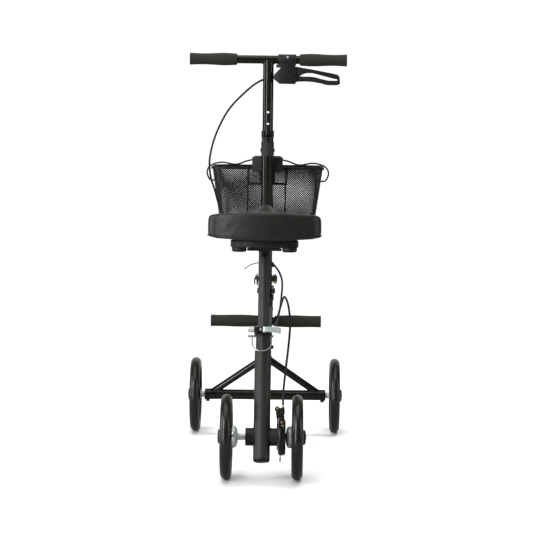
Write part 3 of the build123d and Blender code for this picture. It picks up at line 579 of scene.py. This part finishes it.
def rounded_details():
    """Moulded and cast pieces, with the radius in mm of their edges."""
    for node, width in (
        ("lever_housing", 1.6), ("brake_lever", 2.2), ("basket_bracket", 1.6), ("seat_clamp_lever", 1.0),
        ("seat_clamp_collar", 1.0), ("fold_latch", 0.9), ("fold_bracket", 1.0), ("brake_backing_plate", 0.6),
        ("brake_arm", 0.8), ("seat_tube_cap", 1.5),
        ("headset_cups", 0.8), ("column_lip", 1.2), ("height_plunger", 1.0),
    ):
        softened(node, width)
    softened("seat_elastomers", 7.0, 5)
    softened("seat_base", 5.0, 5)


rounded_details()


# ---------------------------------------------------------------- saddle
def simulated(obj, pressure, cap, voxel, held):
    """Inflates a closed mesh with Cloth, holds some points still, and caps how far any point moves."""
    remesh = obj.modifiers.new("even", "REMESH")
    remesh.mode = "VOXEL"
    remesh.voxel_size = voxel
    apply_modifiers(obj)
    rest = [v.co.copy() for v in obj.data.vertices]
    group = obj.vertex_groups.new(name="held")
    group.add([i for i, co in enumerate(rest) if held(co)], 1.0, "REPLACE")
    cloth = obj.modifiers.new("cloth", "CLOTH")
    cloth.settings.vertex_group_mass = "held"
    cloth.settings.quality = 6
    cloth.settings.mass = 0.3
    cloth.settings.tension_stiffness = 25
    cloth.settings.compression_stiffness = 25
    cloth.settings.shear_stiffness = 12
    cloth.settings.bending_stiffness = 3
    cloth.settings.use_pressure = True
    cloth.settings.uniform_pressure_force = pressure
    cloth.settings.effector_weights.gravity = 0
    cloth.collision_settings.use_collision = False
    last_step = 20
    cloth.point_cache.frame_start = 1
    cloth.point_cache.frame_end = last_step
    scene = bpy.context.scene
    for frame_number in range(1, last_step + 1):
        scene.frame_set(frame_number)
    apply_modifiers(obj)
    scene.frame_set(1)
    for vertex, start in zip(obj.data.vertices, rest):
        move = vertex.co - start
        if move.length > cap:
            vertex.co = start + move.normalized() * cap
    smooth = obj.modifiers.new("smooth", "SMOOTH")
    smooth.factor = 0.5
    smooth.iterations = 12
    finer = obj.modifiers.new("finer", "SUBSURF")
    finer.levels = 1
    apply_modifiers(obj)
    obj.data.shade_smooth()


def saddle():
    """Wide saddle: an upright rear wall with a tight upper edge, a dished top and a raised nose."""
    low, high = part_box("seat_cushion")
    half = (high.x - low.x) / 2 + 0.8 * MM
    rear = low.y + 1 * MM
    length = high.y - low.y - 2 * MM
    rear_top = 637 * MM
    side_points = [
        (0.0, 0.0), (0.30, 0.008), (0.62, 0.034), (0.86, 0.072), (0.975, 0.125), (1.0, 0.205),
        (0.985, 0.30), (0.90, 0.41), (0.72, 0.53), (0.50, 0.64), (0.33, 0.75), (0.235, 0.86),
        (0.17, 0.95), (0.08, 0.99), (0.0, 1.0),
    ]
    right = [Vector((x * half, rear + y * length, 0)) for x, y in side_points]
    left = [Vector((-p.x, p.y, 0)) for p in reversed(right[1:-1])]
    outline = curve_through(right + left, 6, closed=True)
    spine_rear, spine_front = rear + 0.26 * length, rear + 0.90 * length
    profile = (
        (0, 0.5), (0.06, 0), (0.16, -3), (0.3, -8), (0.5, -12), (0.68, -8), (0.84, 4), (0.93, 7.5), (1, 5),
    )
    spine_heights = curve_through([Vector((share, rise, 0)) for share, rise in profile], 12)

    def floor_z(x):
        """The lower edge rises towards the sides."""
        return low.z + 8 * MM * (x / half) ** 2

    def top_z(x, y):
        """Height of the top: dished along the middle, raised at the nose and lower at the sides."""
        along = min(1.0, max(0.0, (y - rear) / length))
        for a, b in zip(spine_heights, spine_heights[1:]):
            if along <= b.x:
                spine = a.y + (b.y - a.y) * (along - a.x) / max(b.x - a.x, 1e-6)
                break
        nose = max(0.0, (along - 0.6) / 0.4)
        hump = 1 - nose * (1 - math.exp(-((x / (24 * MM)) ** 4)))
        shoulder = 5.5 * (x / half) ** 2 + 16 * max(0.0, along - 0.25) * (x / half) ** 2
        return rear_top + MM * (spine * hump - 14 * (1 - hump) - shoulder)

    # Rings from the bottom edge up the wall: (millimetres in from the outline, share of the height).
    rings = [
        (20, 0.05), (9, 0.0), (3.5, 0.0), (0.8, 0.02), (0.4, 0.06), (0.6, 0.10), (0.4, 0.15),
        (0.2, 0.25), (0.0, 0.45), (0.1, 0.70), (0.5, 0.85), (1.3, 0.925), (2.8, 0.97), (5.5, 0.994),
        (9.5, 1.0), (15, 1.0),
    ]

    def inset_point(p, inset):
        """A point moved in from the outline towards the spine, and where on the spine it heads."""
        anchor = Vector((0, min(max(p.y, spine_rear), spine_front), 0))
        away = anchor - p
        return p + away.normalized() * min(inset * MM, away.length * 0.98), anchor

    count = len(outline)
    anchors = [inset_point(p, 20)[1] for p in outline]
    levels = [[Vector((anchor.x, anchor.y, floor_z(0) + 3 * MM)) for anchor in anchors]]
    for inset, share in rings:
        ring = []
        for p in outline:
            q, _ = inset_point(p, inset)
            base = floor_z(q.x)
            ring.append(Vector((q.x, q.y, base + (top_z(q.x, q.y) - base) * share)))
        levels.append(ring)
    for share in (0.15, 0.3, 0.45, 0.6, 0.75, 0.88, 1.0):
        ring = []
        for p in outline:
            q, anchor = inset_point(p, 15)
            q = q.lerp(anchor, share)
            ring.append(Vector((q.x, q.y, top_z(q.x, q.y))))
        levels.append(ring)
    verts = [v for ring in levels for v in ring]
    faces = []
    for level in range(len(levels) - 1):
        for k in range(count):
            m = (k + 1) % count
            a, b = level * count, (level + 1) * count
            faces.append((a + k, a + m, b + m, b + k))
    obj = new_object("saddle_cover", verts, faces)
    work = bmesh.new()
    work.from_mesh(obj.data)
    bmesh.ops.remove_doubles(work, verts=work.verts, dist=0.2 * MM)
    bmesh.ops.holes_fill(work, edges=work.edges, sides=0)
    bmesh.ops.recalc_face_normals(work, faces=work.faces)
    work.to_mesh(obj.data)
    work.free()
    obj.data.shade_smooth()
    simulated(obj, 1.6, 1.2 * MM, 4 * MM, lambda co: co.z < floor_z(co.x) + 9 * MM)
    finish(obj, "vinyl", "seat", "seat_cushion")

    # Welt along the lower edge, sewn between the side panel and the underside.
    welt_path = []
    for p in outline[::2]:
        q, _ = inset_point(p, 0.2)
        base = floor_z(q.x)
        welt_path.append(Vector((q.x, q.y, base + (top_z(q.x, q.y) - base) * 0.085)))
    finish(tube("saddle_welt", welt_path, 1.5 * MM, 8, closed=True), "vinyl", "seat")


saddle()


# ---------------------------------------------------------------- foam grips
def foam_grip(name, centre, inner, outer, body, radii, *replaced):
    """A moulded foam sleeve; radii are spread evenly from the inner end to the outer end."""
    side = 1 if outer > inner else -1
    inner, outer = abs(inner), abs(outer)
    bore = 11.1
    spans = len(radii) - 1
    knots = [Vector((inner + (outer - inner) * i / spans, r, 0)) for i, r in enumerate(radii)]
    crown = curve_through(knots, 8)
    first, last = crown[0], crown[-1]
    profile = [(first.x, bore), (first.x, first.y - 1.6), (first.x + 0.5, first.y - 0.5)]
    profile += [(p.x, p.y) for p in crown[1:-1]]
    profile += [(last.x - 0.6, last.y - 0.5), (last.x, last.y - 1.8), (last.x, 3), (last.x, 0)]
    obj = new_object(name, *lathe_mesh(centre, Vector((side, 0, 0)), profile, 56))
    finish(tidy_normals(obj), "foam", body, *replaced)


def grips():
    """The handlebar's two grips and the foot pegs' two."""
    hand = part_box("handlebar_grips")
    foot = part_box("foot_grips")
    bar_centre = (hand[0] + hand[1]) / 2
    peg_centre = (foot[0] + foot[1]) / 2
    hand_outer = hand[1].x / MM
    foot_outer = foot[1].x / MM
    hand_length = 126
    foot_inner = {"left": 19.5, "right": 24}
    hand_radii = [15.2, 16.0, 16.6, 16.7, 16.3, 15.6, 15.0, 14.8, 14.9, 15.4, 16.2]
    foot_radii = [14.8, 15.6, 16.2, 16.5, 16.5, 16.2, 15.8, 15.5, 15.6, 16.0]
    for side, word in ((-1, "left"), (1, "right")):
        foam_grip(
            f"hand_grip_{word}", bar_centre, side * (hand_outer - hand_length), side * hand_outer,
            "handlebar", hand_radii, "handlebar_grips",
        )
        foam_grip(
            f"foot_grip_{word}", peg_centre, side * foot_inner[word], side * foot_outer,
            "fork", foot_radii, "foot_grips",
        )


grips()


# ---------------------------------------------------------------- basket
def rounded_rectangle(width, depth, corner, count, crowding=0.0):
    """Points round a rectangle with rounded corners, closer together at the rear (-Y) side if crowded."""
    corners, arc_steps = [], 8
    for turn in range(4):
        a = math.radians(90 * turn - 45)
        cx = (width / 2 - corner) * (1 if math.cos(a) > 0 else -1)
        cy = (depth / 2 - corner) * (1 if math.sin(a) > 0 else -1)
        start = math.radians(90 * turn - 90)
        for step in range(arc_steps + 1):
            b = start + math.pi / 2 * step / arc_steps
            corners.append(Vector((cx + corner * math.cos(b), cy + corner * math.sin(b))))
    # Start in the middle of the rear side and go round to it again.
    loop = [Vector((0, -depth / 2))] + corners + [Vector((0, -depth / 2))]
    reach = [0.0]
    for p, q in zip(loop, loop[1:]):
        reach.append(reach[-1] + (q - p).length)
    points, k = [], 0
    for i in range(count):
        t = i / count
        s = reach[-1] * (t - crowding / (2 * math.pi) * math.sin(2 * math.pi * t))
        while reach[k + 1] < s:
            k += 1
        share = (s - reach[k]) / (reach[k + 1] - reach[k])
        p = loop[k].lerp(loop[k + 1], share)
        points.append((p.x, p.y))
    return points


def basket():
    """Expanded-metal basket: walls, floor, rim and wires."""
    low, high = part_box("basket_shell")
    middle = (low + high) / 2
    width, depth, height = high.x - low.x, high.y - low.y, high.z - low.z
    taper = 50 * MM
    corner = 44 * MM
    columns, rows = 292, 60
    inset = 1.0 * MM
    rear_strand, strand, front_strand = 2.35 * MM, 1.9 * MM, 1.3 * MM

    def outline(share, count):
        """Points round the wall at a share of its height."""
        w = width - taper * (1 - share) - 2 * inset
        d = depth - taper * (1 - share) - 2 * inset
        z = low.z + inset + (height - inset) * share
        return [Vector((x, y + middle.y, z)) for x, y in rounded_rectangle(w, d, corner, count, 0.04)]

    # Diamond lattice up the walls.
    verts, index = [], {}
    for row in range(rows + 1):
        for column, point in enumerate(outline(row / rows, columns)):
            if (row + column) % 2 == 0:
                index[row, column] = len(verts)
                verts.append(point)
    faces = []
    for row in range(rows - 1):
        for column in range(columns):
            if (row + column) % 2 == 0:
                left, right = (column - 1) % columns, (column + 1) % columns
                keys = [(row, column), (row + 1, right), (row + 2, column), (row + 1, left)]
                faces.append(tuple(index[key] for key in keys))
    # The same lattice across the floor.
    floor_w, floor_d = width - taper - 2 * inset, depth - taper - 2 * inset
    step_x, step_y = 3.3 * MM, 3.0 * MM
    nx, ny = int(floor_w / step_x / 2), int(floor_d / step_y / 2)

    def inside(x, y):
        """Whether a point is on the floor, inside its rounded corners."""
        dx = max(0.0, abs(x) - (floor_w / 2 - corner))
        dy = max(0.0, abs(y) - (floor_d / 2 - corner))
        return math.hypot(dx, dy) <= corner and abs(x) <= floor_w / 2 and abs(y) <= floor_d / 2

    grid = {}
    for i in range(-nx - 1, nx + 2):
        for j in range(-ny - 1, ny + 2):
            if (i + j) % 2 == 0 and inside(i * step_x, j * step_y):
                grid[i, j] = len(verts)
                verts.append(Vector((i * step_x, middle.y + j * step_y, low.z + inset)))
    for i, j in list(grid):
        loop = [(i, j), (i + 1, j + 1), (i, j + 2), (i - 1, j + 1)]
        if all(key in grid for key in loop):
            faces.append(tuple(grid[key] for key in loop))
    shell = new_object("basket_mesh", verts, faces, smooth=False)
    work = bmesh.new()
    work.from_mesh(shell.data)
    openings = list(work.faces)
    # The drawn sheet has heavier strands at the back than at the front.
    rear_limit, front_limit = low.y + depth * 0.2, high.y - depth * 0.2
    walls = (
        ([f for f in openings if f.calc_center_median().y < rear_limit], rear_strand),
        ([f for f in openings if rear_limit <= f.calc_center_median().y <= front_limit], strand),
        ([f for f in openings if f.calc_center_median().y > front_limit], front_strand),
    )
    for wall, wide in walls:
        bmesh.ops.inset_individual(work, faces=wall, thickness=wide / 2, use_even_offset=True)
    bmesh.ops.delete(work, geom=openings, context="FACES_ONLY")
    work.to_mesh(shell.data)
    work.free()
    thick = shell.modifiers.new("strands", "SOLIDIFY")
    thick.thickness = 1.1 * MM
    thick.offset = -1.0
    apply_modifiers(shell)
    finish(shell, "mesh", "basket", "basket_shell")

    # Rolled rim, base wire and the upright wires behind.
    rim = tube("basket_rim", outline(1.0, 96), 2.8 * MM, 10, closed=True)
    finish(rim, "mesh", "basket")
    parts = [tube_mesh(outline(0.0, 96), 1.6 * MM, 8, closed=True)]
    for x in (-54, 49):
        foot = Vector((x * MM, low.y + taper / 2 - 1.0 * MM, low.z))
        top = Vector((x * MM, low.y - 1.5 * MM, high.z))
        parts.append(tube_mesh([top.lerp(foot, i / 12) for i in range(13)], 2.0 * MM, 8))
    wires = merged("basket_wires", parts)
    finish(wires, "mesh", "basket")


basket()


# ---------------------------------------------------------------- brake cable
def cable_path(*points):
    """A smooth path through points in mm."""
    return curve_through([mm(*p) for p in points], 10)


def cables():
    """One cable from the lever, round the column and along the right of the beam to the brake."""
    cable = 2.7 * MM
    upper = tube(
        "cable_to_column",
        cable_path(
            (15, 524, 975), (-4, 536, 970), (-22, 534, 965), (-51, 526, 944), (-95, 524, 900),
            (-121, 525, 860), (-142, 527, 811), (-153, 530, 767), (-155, 534, 736), (-151, 540, 703),
            (-141, 545, 672), (-129, 548, 630), (-112, 548, 585), (-72, 548, 541), (-35, 556, 518),
            (-14, 575, 503), (-2, 604, 492), (8, 616, 480), (16, 606, 471),
        ),
        cable,
    )
    finish(upper, "cable", None, "brake_cable_upper")
    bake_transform(upper)
    middle = tube(
        "cable_round_hinge",
        cable_path(
            (16, 606, 471), (26, 602, 460), (34, 602, 449), (39, 602, 438), (43, 603, 425),
            (44, 603, 406), (43.8, 602, 398),
        ),
        cable,
    )
    finish(middle, "cable", None)
    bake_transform(middle)
    lower = tube(
        "cable_past_headset",
        cable_path(
            (43.8, 602, 398), (43, 600, 390), (41.5, 594, 372), (39, 582, 352), (36, 560, 336),
            (31, 520, 322), (26, 480, 316), (24, 450, 318),
        ),
        cable,
    )
    finish(lower, "cable", None)
    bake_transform(lower)
    last = tube(
        "cable_to_brake",
        cable_path(
            (24, 450, 318), (27, 420, 330), (34, 380, 352), (45, 300, 398), (51, 240, 415),
            (60, 180, 400), (65, 135, 360), (62, 85, 315), (55, 30, 257), (50, -20, 210), (50, -35.5, 183),
        ),
        cable,
    )
    finish(last, "cable", "frame", "brake_cable_lower")


cables()


# ---------------------------------------------------------------- small parts
def brake_details():
    """Band cover, the fixed cable stop, the cable clamp that moves with the arm, and the cable tail."""
    right = Vector((1, 0, 0))
    cover_profile = [
        (38.8, 30), (38.8, 38.6), (39.6, 40.6), (41.2, 42.2), (43.6, 43.1), (47.5, 43.3), (51.5, 43.2),
        (54.2, 42.6), (55.9, 41.2), (56.5, 39.2), (56.5, 33), (55.6, 31),
    ]
    cover = turned("brake_cover", rear_axle, right, cover_profile, 72, sharp=40)
    finish(cover, "black_steel", "frame", "brake_band")
    up = Vector((0, 0, 1))
    head = [
        (30, 175), (32, 181), (38, 183), (42, 179.5), (45.5, 178), (51, 180.5), (52.5, 175), (55, 171),
        (54, 168.5), (34, 168.5),
    ]
    lug = [(50.8, 156), (51.5, 149), (55.5, 141), (55.5, 134), (38, 134), (39.5, 146), (40.7, 156)]
    finish(plate("brake_cable_stop", head, mm(0, -40, 0), right, up, 7, 1.3), "black_steel", "frame")
    finish(plate("brake_cable_clamp", lug, mm(0, -43.3, 0), right, up, 4, 1.2), "black_steel", "brake_arm")
    back = Vector((0, -1, 0))
    stop_bolt = bolt_heads("brake_stop_bolts", [bolt_head(mm(37, -43, 178), back, 3.3, 2.4)])
    finish(stop_bolt, "brass", "frame")
    barrel = tube("brake_cable_barrel", [mm(48.6, -37, 178), mm(48.8, -36.4, 185.5)], 2.9 * MM, 14)
    finish(barrel, "zinc", "frame")
    heads = [bolt_head(mm(47, -45.2, 146), back, 3.2, 2.2), bolt_head(mm(50, -45.2, 137.5), back, 2.8, 2.2)]
    finish(bolt_heads("brake_pinch_heads", heads), "brass", "brake_arm", "brake_pinch_bolts")
    tail_path = [mm(44.6, -43, 134.5), mm(44.8, -46, 104), mm(44.6, -44.5, 78), mm(44.6, -40, 56)]
    tail = tube("brake_cable_tail", curve_through(tail_path, 8), 1.2 * MM, 8)
    finish(tail, "cable", "brake_arm", "brake_cable_end")
    crimp = tube("brake_cable_crimp", [mm(44.6, -40.4, 58), mm(44.6, -39, 51)], 2.0 * MM, 10)
    finish(crimp, "copper", "brake_arm")


def latch_details():
    """Wire hooks outside the latch plates, with a bright bush in the right one."""
    parts = []
    for (inner, middle, outer), top in (((-24, -27, -31), 338.7), ((15, 21, 28), 343.7)):
        hook = [(inner, top - 22), (inner, top - 6), (middle, top), (outer, top - 6), (outer, top - 20)]
        parts.append(tube_mesh(curve_through([on_column(h, -19, x) for x, h in hook], 6), 1.7 * MM, 8))
    finish(merged("latch_hooks", parts), "black_steel", "fold_latch")
    bush_start = on_column(326, -19, 16)
    bush = tube("latch_bush", [bush_start, bush_start + Vector((10 * MM, 0, 0))], 3.0 * MM, 14)
    finish(bush, "brass", "fold_latch")


def lever_details():
    """A bright clamp bolt on the housing and a black pivot bolt through the lever."""
    bar_y = on_column(929.4).y / MM
    back, ahead = Vector((0, -1, 0)), Vector((0, 1, 0))
    clamp = bolt_heads("lever_clamp_bolt", [bolt_head(mm(51, bar_y - 14, 1028.5), back, 3.2, 2.6)])
    finish(clamp, "zinc", "handlebar", "lever_bolts")
    heads = [bolt_head(mm(66, bar_y + 11 * d.y, 986), d, 4.2, 1.6) for d in (back, ahead)]
    finish(bolt_heads("lever_pivot_bolt", heads), "black_plastic", "handlebar")


def tyres():
    """Round-crowned tyres, seated on the rims."""
    seat_half, seat_radius, crown_steps = 11, 80, 32
    for wheel in ("rear_left", "rear_right", "front_left", "front_right"):
        low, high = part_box(wheel + "_tyre")
        half, outer = (high.x - low.x) / 2 / MM, (high.z - low.z) / 2 / MM
        profile = [(-seat_half, seat_radius)]
        for step in range(crown_steps + 1):
            a = math.pi * step / crown_steps
            profile.append((-half * math.cos(a), outer - half + half * math.sin(a)))
        profile.append((seat_half, seat_radius))
        centre = (low + high) / 2
        tyre = turned(wheel + "_tyre_round", centre, Vector((1, 0, 0)), profile, 144, loop=True, sharp=40)
        finish(tyre, "tyre_rubber", wheel + "_wheel", wheel + "_tyre")


def hub_flanges():
    """Dished zinc flanges on the inner side of each rear wheel."""
    profile = [
        (71, 12), (71, 25.6), (70.4, 26.3), (66, 26.3), (63, 25.4), (60.6, 22.8), (59, 18.5), (58, 13.5),
        (57.2, 9.5), (57, 7),
    ]
    for side, word in ((-1, "left"), (1, "right")):
        flange = turned(f"hub_flange_{word}", rear_axle, Vector((side, 0, 0)), profile, 64, sharp=50)
        finish(flange, "zinc", f"rear_{word}_wheel", f"rear_{word}_hub_flange")


def tie_details():
    """The tail of the cable tie curls away to the left of the column."""
    points = [
        mm(14, 614, 469), mm(2, 621, 470), mm(-12, 618, 471), mm(-24, 606, 471), mm(-43, 596, 466),
        mm(-60, 592, 455),
    ]
    strap = tube("tie_tail", curve_through(points, 8), 1.5 * MM, 8)
    finish(strap, "black_plastic", "column")
    strap.data.materials[0] = natural_nylon()
    outline = [(-3, -4.5), (3, -4.5), (3.6, 4), (-3, 4.5)]
    head = plate("tie_head", outline, mm(18, 600, 465), Vector((1, 0, 0)), Vector((0, 0, 1)), 6, 1.0)
    finish(head, "black_plastic", "column")


def handle_wire():
    """Thicker wire for the basket's handle, hooked round the rim at both sides."""
    half = [
        (144, 705, 693), (157, 705, 693), (164, 704.4, 699), (168.7, 701, 714), (164, 684, 728),
        (149, 640, 739), (122, 599, 745), (85, 597, 740), (50, 603, 751),
    ]
    whole = half + [(0, 612, 757.5)] + [(-x, y, z) for x, y, z in reversed(half)]
    wire = tube("basket_handle_wire", cable_path(*whole), 2.2 * MM)
    finish(wire, "mesh", "basket_handle", "basket_handle")


brake_details()
latch_details()
tie_details()
lever_details()
tyres()
hub_flanges()
handle_wire()


# ---------------------------------------------------------------- welds
def weld(
    name, point, direction, radius, other_point, other_direction, other_radius, body,
    slot="frame_paint", keep=None,
):
    """A rippled bead where one tube runs into another; keep says which part of the seam is there."""
    direction, other = direction.normalized(), other_direction.normalized()
    first = direction.orthogonal().normalized()
    second = direction.cross(first)
    hits = []
    steps, shortest = 120, 6
    for k in range(steps):
        a = 2 * math.pi * k / steps
        start = point + (first * math.cos(a) + second * math.sin(a)) * radius
        gap = start - other_point
        gap = gap - other * gap.dot(other)
        along = direction - other * direction.dot(other)
        qa, qb, qc = along.dot(along), 2 * gap.dot(along), gap.dot(gap) - other_radius ** 2
        inside = qb * qb - 4 * qa * qc
        if inside <= 0:
            hits.append(None)
            continue
        hit = start + direction * ((-qb - math.sqrt(inside)) / (2 * qa))
        hits.append(hit if keep is None or keep(hit) else None)
    runs = []
    if all(h is not None for h in hits):
        runs.append((hits, True))
    else:
        first_gap = hits.index(None)
        run = []
        for hit in hits[first_gap:] + hits[:first_gap] + [None]:
            if hit is not None:
                run.append(hit)
                continue
            if len(run) > shortest:
                runs.append((run, False))
            run = []
    parts = []
    for run, closed in runs:
        fine = curve_through(run, 3, closed)
        parts.append(tube_mesh(fine, lambda t: (1.9 + 0.35 * math.sin(t * len(run) * 2.1)) * MM, 8, closed))
    if parts:
        finish(merged(name, parts), slot, body)


def welds():
    """Beads at the joints of the frame, the fork and the handlebar."""
    tube_point = on_seat_tube(0)
    for side, word in ((-1, "left"), (1, "right")):
        away = Vector((-side, 0, 0))
        weld(f"weld_housing_{word}", rear_axle + Vector((side * 60 * MM, 0, 0)), away, 21.2 * MM,
             tube_point, seat_up, 20 * MM, "frame")
        strut_top, strut_foot = on_column(108), on_column(2, x=side * 152)
        weld(f"weld_strut_foot_{word}", strut_top, strut_foot - strut_top, 9.5 * MM,
             front_axle, Vector((1, 0, 0)), 14 * MM, "fork")
        weld(f"weld_strut_top_{word}", strut_foot, strut_top - strut_foot, 9.5 * MM,
             front_axle, column_up, 15.9 * MM, "fork")
        bar_centre = on_column(929.4)
        weld(f"weld_bar_{word}", bar_centre + Vector((side * 60 * MM, 0, 0)), away, 11.1 * MM,
             bar_centre, column_up, 14.3 * MM, "handlebar", "column_paint",
             lambda hit: (hit - bar_centre).dot(column_up) < 2 * MM)
    beam_rear = -column_forward
    weld("weld_beam_head", on_column(245.8) + beam_rear * 0.2, column_forward, 18 * MM,
         front_axle, column_up, 19 * MM, "frame")
    weld("weld_beam_seat_tube", on_column(245.8), beam_rear, 18 * MM, tube_point, seat_up, 20 * MM, "frame")


welds()

# ---------------------------------------------------------------- floor, lights and camera
def stage_mesh():
    """A pale floor that curves up into a backdrop, darker in reflections than it looks to the camera."""
    front, back, wide, tall, bend, bend_steps = -7.0, 4.5, 9.0, 6.0, 1.6, 12
    profile = [(front, 0.0), (back - bend, 0.0)]
    for i in range(1, bend_steps + 1):
        a = math.pi / 2 * i / bend_steps
        profile.append((back - bend + bend * math.sin(a), bend - bend * math.cos(a)))
    profile.append((back, tall))
    verts, faces = [], []
    for y, z in profile:
        verts += [Vector((-wide, y, z)), Vector((wide, y, z))]
    for i in range(len(profile) - 1):
        faces.append((2 * i, 2 * i + 1, 2 * i + 3, 2 * i + 2))
    obj = new_object("studio_floor", verts, faces)
    f = Finish("studio_white", (0.82, 0.82, 0.82), 0.8, specular=0.0)
    f.mottle(3, 0.004)
    path = f.node("ShaderNodeLightPath")
    mix = f.node("ShaderNodeMix", data_type="RGBA")
    f.link(path.outputs["Is Camera Ray"], mix.inputs["Factor"])
    mix.inputs[COLOUR_A].default_value = (0.30, 0.30, 0.30, 1)
    f.link(f.colour_out, mix.inputs[COLOUR_B])
    f.colour_out = mix.outputs[COLOUR_RESULT]
    material = f.done()
    clear = f.node("ShaderNodeBsdfTransparent")
    one_sided = f.node("ShaderNodeMixShader")
    f.link(f.node("ShaderNodeNewGeometry").outputs["Backfacing"], one_sided.inputs[0])
    # Away from the object the floor fades to an even white, to the camera only.
    away = f.node("ShaderNodeVectorMath", operation="DISTANCE")
    f.link(f.node("ShaderNodeNewGeometry").outputs["Position"], away.inputs[0])
    away.inputs[1].default_value = (0, 0.38, 0)
    far = f.spread(away.outputs["Value"], 0, 1, 0.8, 1.6)
    white_to_camera = f.node("ShaderNodeMath", operation="MULTIPLY")
    f.link(far, white_to_camera.inputs[0])
    f.link(path.outputs["Is Camera Ray"], white_to_camera.inputs[1])
    white = f.node("ShaderNodeEmission")
    white.inputs["Strength"].default_value = 1.05
    paper = f.node("ShaderNodeMixShader")
    f.link(white_to_camera.outputs[0], paper.inputs[0])
    f.link(f.bsdf.outputs[0], paper.inputs[1])
    f.link(white.outputs[0], paper.inputs[2])
    f.link(paper.outputs[0], one_sided.inputs[1])
    f.link(clear.outputs[0], one_sided.inputs[2])
    f.link(one_sided.outputs[0], f.tree.nodes["Material Output"].inputs["Surface"])
    obj.data.materials.append(material)


def area_light(name, azimuth, elevation, distance, size, power, target=(0, 0.3, 0.5), mirrored=True):
    """A soft box; azimuth is degrees from the camera's side, positive to the right."""
    a, e = math.radians(azimuth), math.radians(elevation)
    target = Vector(target)
    place = target + Vector((math.sin(a) * math.cos(e), -math.cos(a) * math.cos(e), math.sin(e))) * distance
    data = bpy.data.lights.new(name, "AREA")
    data.shape = "RECTANGLE"
    data.size, data.size_y = size
    data.energy = power
    obj = bpy.data.objects.new(name, data)
    obj.location = place
    obj.rotation_euler = (target - place).to_track_quat("-Z", "Y").to_euler()
    obj.visible_glossy = mirrored
    bpy.context.scene.collection.objects.link(obj)


def studio():
    """The floor, a white surround and the soft boxes."""
    stage_mesh()
    world = bpy.data.worlds.new("studio")
    world.use_nodes = True
    tree = world.node_tree
    fill = tree.nodes["Background"]
    fill.inputs["Color"].default_value = (1, 1, 1, 1)
    fill.inputs["Strength"].default_value = 0.12
    seen = tree.nodes.new("ShaderNodeBackground")
    seen.inputs["Color"].default_value = (1, 1, 1, 1)
    seen.inputs["Strength"].default_value = 1.1
    path = tree.nodes.new("ShaderNodeLightPath")
    choose = tree.nodes.new("ShaderNodeMixShader")
    tree.links.new(path.outputs["Is Camera Ray"], choose.inputs[0])
    tree.links.new(fill.outputs[0], choose.inputs[1])
    tree.links.new(seen.outputs[0], choose.inputs[2])
    tree.links.new(choose.outputs[0], tree.nodes["World Output"].inputs["Surface"])
    bpy.context.scene.world = world
    bpy.context.scene.view_settings.view_transform = "Standard"
    area_light("key", -40, 30, 3.4, (0.9, 1.5), 52)
    area_light("front_strip", -36, 1, 3.0, (0.5, 1.3), 30)
    area_light("left_strip", -86, 10, 2.8, (0.45, 2.2), 34)
    area_light("right_strip", 76, 12, 3.0, (0.4, 2.0), 15)
    area_light("top", 0, 84, 3.2, (3.2, 3.2), 50)
    area_light("top_fill", 0, 84, 3.2, (3.2, 3.2), 100, mirrored=False)
    area_light("backdrop", 0, 75, 3.6, (5.0, 1.0), 300, (0, 3.6, 0.6), mirrored=False)


def camera():
    """A long lens behind the scooter at saddle-to-grip height, tipped down a little, with a slight roll."""
    data = bpy.data.cameras.new("camera")
    data.sensor_width = 36.0
    data.lens = 117.1
    data.shift_x = -0.038
    data.shift_y = -0.10
    data.clip_end = 100
    obj = bpy.data.objects.new("camera", data)
    obj.location = (0.0487, -4.1201, 0.8503)
    obj.rotation_euler = (math.radians(87.063), math.radians(-0.707), math.radians(-0.027))
    bpy.context.scene.collection.objects.link(obj)
    bpy.context.scene.camera = obj


studio()
camera()
